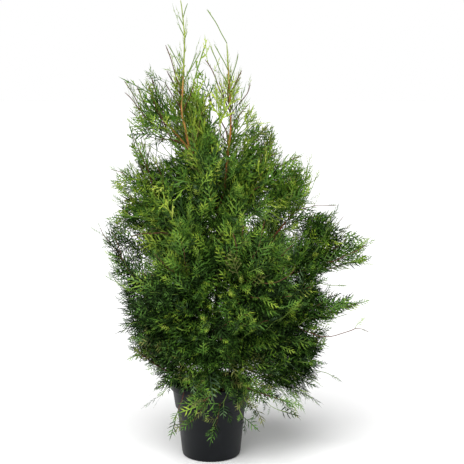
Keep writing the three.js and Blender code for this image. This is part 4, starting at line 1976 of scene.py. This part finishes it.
@dataclass
class Pot:
    """A round nursery container with a rolled lip, a flared neck and a stacking shoulder."""

    lip_height: float = 16 * MM
    neck_radius: float = 100 * MM
    shoulder_height: float = 129 * MM
    shoulder_radius: float = 88.5 * MM
    shoulder_step: float = 4.5 * MM
    base_radius: float = 75 * MM
    base_round: float = 6 * MM
    foot_flare: float = 0.4 * MM
    foot_height: float = 9 * MM
    foot_step: float = 0.8 * MM
    edge_round: float = 1.2 * MM
    lip_under_round: float = 1.6 * MM
    lip_round: float = 2.0 * MM
    lip_inner_round: float = 2.4 * MM
    wall: float = 2 * MM
    floor: float = 3 * MM
    hole_radius: float = 6 * MM
    hole_circle: float = 48 * MM
    holes: int = 6
    hole_sides: int = 24
    sharp_from: float = 38.0
    segments: int = 128

    def _arc(
        self, centre: tuple[float, float], size: float, start: float, end: float, steps: int = 5
    ) -> list[tuple[float, float]]:
        """Returns points on an arc of a profile, whose angles are in degrees from the X axis.

        Args:
            centre: the arc's centre.
            size: its radius.
            start: its first angle.
            end: its last angle.
            steps: how many steps it has.
        """
        return [
            (
                centre[0] + size * math.cos(math.radians(start + (end - start) * k / steps)),
                centre[1] + size * math.sin(math.radians(start + (end - start) * k / steps)),
            )
            for k in range(steps + 1)
        ]

    def _profile(self, radius: float, height: float) -> list[tuple[float, float]]:
        """Returns the section of the pot, from its axis below out, up, over the lip and back.

        Args:
            radius: the lip's outer radius.
            height: the pot's height.
        """
        lip = height - self.lip_height
        small = self.edge_round
        under, over, within = self.lip_under_round, self.lip_round, self.lip_inner_round
        foot = self.base_radius + self.foot_flare
        base, step = self.base_radius - self.base_round, self.shoulder_radius + self.shoulder_step
        outside = [
            (0.0, 0.0),
            *self._arc((base, self.base_round), self.base_round, -90, 0),
            (foot, self.foot_height),
            (foot + self.foot_step, self.foot_height + 1 * MM),
            (self.shoulder_radius - 0.6 * MM, self.shoulder_height - 2 * MM),
            *self._arc(
                (self.shoulder_radius + small, self.shoulder_height - small), small, 180, 100, 3
            ),
            *self._arc((step - small, self.shoulder_height + small), small, -80, 0, 3),
            (self.neck_radius, lip - 1 * MM),
            (radius - 2.2 * MM, lip),
            *self._arc((radius - under, lip + under), under, -90, 0, 4),
            *self._arc((radius - over, height - over), over, 0, 90, 5),
        ]
        inner = self.neck_radius - self.wall
        inside = [
            *self._arc((inner + within, height - within), within, 90, 180, 5),
            (inner, lip),
            (step - self.wall, self.shoulder_height + 3 * MM),
            (self.shoulder_radius - self.wall, self.shoulder_height - 1 * MM),
            (self.base_radius - self.wall, self.floor + 5 * MM),
            (self.base_radius - self.wall - 3 * MM, self.floor),
            (0.0, self.floor),
        ]
        return outside + inside

    def build(self, plastic: Material) -> None:
        """Builds the pot in place of its node.

        Args:
            plastic: the pot's finish.
        """
        low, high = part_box("pot")
        profile = self._profile((high.x - low.x) / 2, high.z - low.z)
        ring = profile[1:-1]
        rows = [
            (*on_circle(r, k, self.segments), z + low.z) for r, z in ring for k in range(self.segments)
        ]
        ends = [(0.0, 0.0, low.z), (0.0, 0.0, low.z + self.floor)]
        skin = Skin()
        skin.add(np.array(rows + ends), ring_faces(len(ring), self.segments))
        mesh = self._drilled(skin.mesh("pot_body"), low.z)
        mesh.materials.clear()
        mesh.materials.append(plastic)
        piece = place_piece(mesh, "nursery_pot", ["pot"])
        piece.data.set_sharp_from_angle(angle=math.radians(self.sharp_from))

    def _drilled(self, mesh: Mesh, base: float) -> Mesh:
        """Returns the pot's mesh with its drain holes cut through the floor.

        Args:
            mesh: the pot's mesh.
            base: the floor's height under the pot.
        """
        drills = Skin()
        for k in range(self.holes):
            x, y = on_circle(self.hole_circle, k + 0.5, self.holes)
            path = np.array([[x, y, base - 5 * MM], [x, y, base + self.floor + 5 * MM]])
            drills.add(*tube(path, np.array([self.hole_radius] * 2), self.hole_sides))
        body = bpy.data.objects.new("pot_body", mesh)
        cutter = bpy.data.objects.new("pot_drills", drills.mesh("pot_drills"))
        for item in (body, cutter):
            bpy.context.scene.collection.objects.link(item)
        modifier = body.modifiers.new("drain_holes", "BOOLEAN")
        modifier.operation = "DIFFERENCE"
        modifier.object = cutter
        drilled = evaluated(body)
        bpy.data.objects.remove(body)
        bpy.data.objects.remove(cutter)
        return drilled


@dataclass
class Compost:
    """The compost that fills the pot: a lumpy surface, strewn with crumbs."""

    lump: float = 14 * MM
    lump_height: float = 5 * MM
    sunk: float = 1 * MM
    rings: int = 22
    segments: int = 72
    depth: float = 44 * MM
    foot_radius: float = 86 * MM
    crumb: float = 2.6 * MM
    crumb_density: float = 22000.0
    crumb_turn: float = 6.28
    crumb_least: tuple[float, float, float] = (0.3, 0.3, 0.2)
    crumb_most: tuple[float, float, float] = (1.5, 1.0, 0.7)
    upper_from: float = 0.5

    def build(self, peat: Material, crumbs: Material) -> None:
        """Builds the compost in place of its node.

        Args:
            peat: the compost's finish.
            crumbs: the crumbs' finish.
        """
        low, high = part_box("soil")
        radius = (high.x - low.x) / 2
        skin = Skin()
        rows = [(0.0, 0.0, self._surface(0, 0, high.z))]
        for ring in range(1, self.rings + 1):
            reach = radius * ring / self.rings
            for k in range(self.segments):
                x, y = on_circle(reach, k, self.segments)
                rows.append((x, y, self._surface(x, y, high.z)))
        edge = 1 + (self.rings - 1) * self.segments
        foot = len(rows)
        for k in range(self.segments):
            rows.append((*on_circle(self.foot_radius, k, self.segments), high.z - self.depth))
        rows.append((0.0, 0.0, high.z - self.depth))
        faces: Faces = []
        for k in range(self.segments):
            following = (k + 1) % self.segments
            faces.append((0, 1 + k, 1 + following))
            for ring in range(self.rings - 1):
                start = 1 + ring * self.segments
                outer = start + self.segments
                faces.append((start + k, outer + k, outer + following, start + following))
            faces.append((edge + k, foot + k, foot + following, edge + following))
            faces.append((len(rows) - 1, foot + following, foot + k))
        skin.add(np.array(rows), faces)
        mesh = skin.mesh("compost_surface")
        mesh.materials.append(peat)
        surface = place_piece(mesh, "compost", ["soil"])
        self._strew(surface, radius, crumbs)

    def _surface(self, x: float, y: float, top: float) -> float:
        """Returns the height of the compost at a point.

        Args:
            x: its place from left to right.
            y: its place from front to back.
            top: the height that the surface is filled to.
        """
        spot = Vector((x, y, 0)) / self.lump
        lumps = noise.noise(spot) + 0.5 * noise.noise(spot * 3)
        return top - self.sunk + self.lump_height * 0.5 * lumps

    def _strew(self, surface: Object, radius: float, crumbs: Material) -> None:
        """Strews crumbs over the compost's upper side with Geometry Nodes.

        Args:
            surface: the compost piece.
            radius: the compost's radius; not used.
            crumbs: the crumbs' finish.
        """
        tree = bpy.data.node_groups.new("strew_crumbs", "GeometryNodeTree")
        face = tree.interface
        face.new_socket("Compost", in_out="INPUT", socket_type="NodeSocketGeometry")
        sockets = {
            title: face.new_socket(title, in_out="INPUT", socket_type=kind).identifier
            for title, kind in (
                ("Crumbs per square metre", "NodeSocketFloat"),
                ("Crumb size", "NodeSocketFloat"),
                ("Seed", "NodeSocketInt"),
            )
        }
        face.new_socket("Crumbs", in_out="OUTPUT", socket_type="NodeSocketGeometry")
        entry = add_node(tree, "NodeGroupInput")
        normal = add_node(tree, "GeometryNodeInputNormal")
        split = add_node(tree, "ShaderNodeSeparateXYZ", {"Vector": normal.outputs[0]})
        upper = add_node(
            tree,
            "FunctionNodeCompare",
            {"A": split.outputs["Z"], "B": self.upper_from},
            data_type="FLOAT",
            operation="GREATER_THAN",
        )
        spots = add_node(
            tree,
            "GeometryNodeDistributePointsOnFaces",
            {
                "Mesh": entry.outputs["Compost"],
                "Selection": upper.outputs[0],
                "Density": entry.outputs["Crumbs per square metre"],
                "Seed": entry.outputs["Seed"],
            },
        )
        crumb = add_node(
            tree,
            "GeometryNodeMeshIcoSphere",
            {"Radius": entry.outputs["Crumb size"], "Subdivisions": 1},
        )
        turn = add_node(
            tree,
            "FunctionNodeRandomValue",
            {0: (0.0,) * 3, 1: (self.crumb_turn,) * 3, "Seed": entry.outputs["Seed"]},
            data_type="FLOAT_VECTOR",
        )
        shape = add_node(
            tree,
            "FunctionNodeRandomValue",
            {0: self.crumb_least, 1: self.crumb_most, "Seed": entry.outputs["Seed"]},
            data_type="FLOAT_VECTOR",
        )
        placed = add_node(
            tree,
            "GeometryNodeInstanceOnPoints",
            {
                "Points": spots.outputs["Points"],
                "Instance": crumb.outputs["Mesh"],
                "Rotation": turn.outputs[0],
                "Scale": shape.outputs[0],
            },
        )
        real = add_node(
            tree, "GeometryNodeRealizeInstances", {"Geometry": placed.outputs["Instances"]}
        )
        painted = add_node(
            tree,
            "GeometryNodeSetMaterial",
            {"Geometry": real.outputs["Geometry"], "Material": crumbs},
        )
        add_node(tree, "NodeGroupOutput", {0: painted.outputs["Geometry"]})
        carrier = bpy.data.objects.new("crumb_carrier", surface.data.copy())
        bpy.context.scene.collection.objects.link(carrier)
        modifier = carrier.modifiers.new("crumbs", "NODES")
        modifier.node_group = tree
        modifier[sockets["Crumbs per square metre"]] = self.crumb_density
        modifier[sockets["Crumb size"]] = self.crumb
        modifier[sockets["Seed"]] = SEED
        mesh = evaluated(carrier)
        carrier.modifiers.remove(modifier)
        bpy.data.objects.remove(carrier)
        place_piece(mesh, "compost_crumbs", smooth=False)


# ---- studio


@dataclass
class Studio:
    """A pale floor, soft lights and the camera; the floor and the fill light are placed by the plant's
    own size.
    """

    white: str = "#ffffff"
    floor_roughness: float = 0.9
    floor_reach: float = 60.0
    backdrop: float = 1.0
    ambient: float = 0.36
    sun: float = 3.4
    sun_spread: float = 56.0
    sun_heading: tuple[float, float, float] = (0.26, 0.74, -1.20)
    fill_place: tuple[float, float, float] = (2.2, -1.8, 1.4)
    fill_size: float = 2.0
    fill_power: float = 14.0
    distance: float = 2.7
    eye_height: float = 0.95
    aside: float = 0.054
    tilt: float = 7.76
    lens: float = 83.2
    sensor: float = 36.0

    def build(self) -> None:
        """Builds the floor, the lights and the camera."""
        self._floor()
        self._sun()
        self._fill()
        world = bpy.data.worlds.new("soft_studio")
        world.use_nodes = True
        tree = world.node_tree
        seen = add_node(tree, "ShaderNodeLightPath").outputs["Is Camera Ray"]
        strength = mapped(tree, seen, (0.0, 1.0), (self.ambient, self.backdrop))
        tree.nodes["Background"].inputs["Color"].default_value = linear(self.white)
        tree.links.new(strength, tree.nodes["Background"].inputs["Strength"])
        bpy.context.scene.world = world
        bpy.context.scene.view_settings.view_transform = "Standard"
        self._camera()

    def _floor(self) -> None:
        """Lays the pale floor under the pot."""
        corners = ((-1, -1), (1, -1), (1, 1), (-1, 1))
        sheet = [(x * self.floor_reach, y * self.floor_reach, CAD_BOX[0].z) for x, y in corners]
        skin = Skin()
        skin.add(np.array(sheet), [(0, 1, 2, 3)])
        floor = bpy.data.objects.new("pale_floor", skin.mesh("pale_floor"))
        material, _, shader = new_material("pale_studio_paper")
        shader.inputs["Base Color"].default_value = linear(self.white)
        shader.inputs["Roughness"].default_value = self.floor_roughness
        floor.data.materials.append(material)
        bpy.context.scene.collection.objects.link(floor)

    def _sun(self) -> None:
        """Hangs the wide, soft main light, high on the left in front of the plant."""
        data = bpy.data.lights.new("soft_main_light", "SUN")
        data.energy = self.sun
        data.angle = math.radians(self.sun_spread)
        light = bpy.data.objects.new("soft_main_light", data)
        light.rotation_euler = Vector(self.sun_heading).to_track_quat("-Z", "Y").to_euler()
        bpy.context.scene.collection.objects.link(light)

    def _fill(self) -> None:
        """Hangs a soft square light at the right, which looks at the middle of the plant."""
        data = bpy.data.lights.new("fill_light", "AREA")
        data.energy = self.fill_power
        data.size = self.fill_size
        light = bpy.data.objects.new("fill_light", data)
        light.location = self.fill_place
        middle = (CAD_BOX[0] + CAD_BOX[1]) / 2
        heading = middle - Vector(self.fill_place)
        light.rotation_euler = heading.to_track_quat("-Z", "Y").to_euler()
        bpy.context.scene.collection.objects.link(light)

    def _camera(self) -> None:
        """Sets the camera in front of the plant, a little above its middle."""
        data = bpy.data.cameras.new("camera")
        data.lens = self.lens
        data.sensor_width = self.sensor
        camera = bpy.data.objects.new("camera", data)
        camera.location = (self.aside, -self.distance, self.eye_height)
        camera.rotation_euler = (math.radians(90 - self.tilt), 0, 0)
        bpy.context.scene.collection.objects.link(camera)
        bpy.context.scene.camera = camera


# ---- the whole plant


def record_slots() -> dict[str, str]:
    """Returns the record's material slot of each CAD node."""
    return {part["node"]: part["material_slot"] for part in frame["record"]["subparts"]}


def write_sizes() -> None:
    """Updates the view layer once the plant is built."""
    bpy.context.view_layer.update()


def main() -> None:
    """Builds the studio, the limbs, the twigs and sprays, and the pot, in that order."""
    logging.basicConfig(level=logging.INFO, format="%(name)s: %(message)s")
    top = CAD_BOX[1].z
    Studio().build()
    limbs = Limbs()
    limbs.trace()
    limbs.build(BarkFinish().material(top))
    slots = record_slots()
    masses = [Mass.of_node(n, slots[n]) for n in sorted(slots) if n.startswith("foliage_")]
    crown = Crown(masses, top)
    rule = TwigRule()
    growth = rule.grow(crown, limbs.every(), top)
    Twigs().build(
        growth,
        top,
        TwigFinish("brown_twig_skin", "#5e3b29").material(),
        TwigFinish("green_twig_skin", "#6f8a3a").material(),
    )
    palette = [finish.material() for finish in LEAF_FINISHES]
    Foliage(crown, limbs.stems, rule, top).build(growth, palette)
    Pot().build(PotPlasticFinish().material())
    Compost().build(
        CompostFinish("milled_peat_compost").material(),
        CompostFinish("compost_crumbs", "#2b1d14", "#6a5038", 5 * MM).material(),
    )
    write_sizes()


if __name__ == "__main__":
    main()
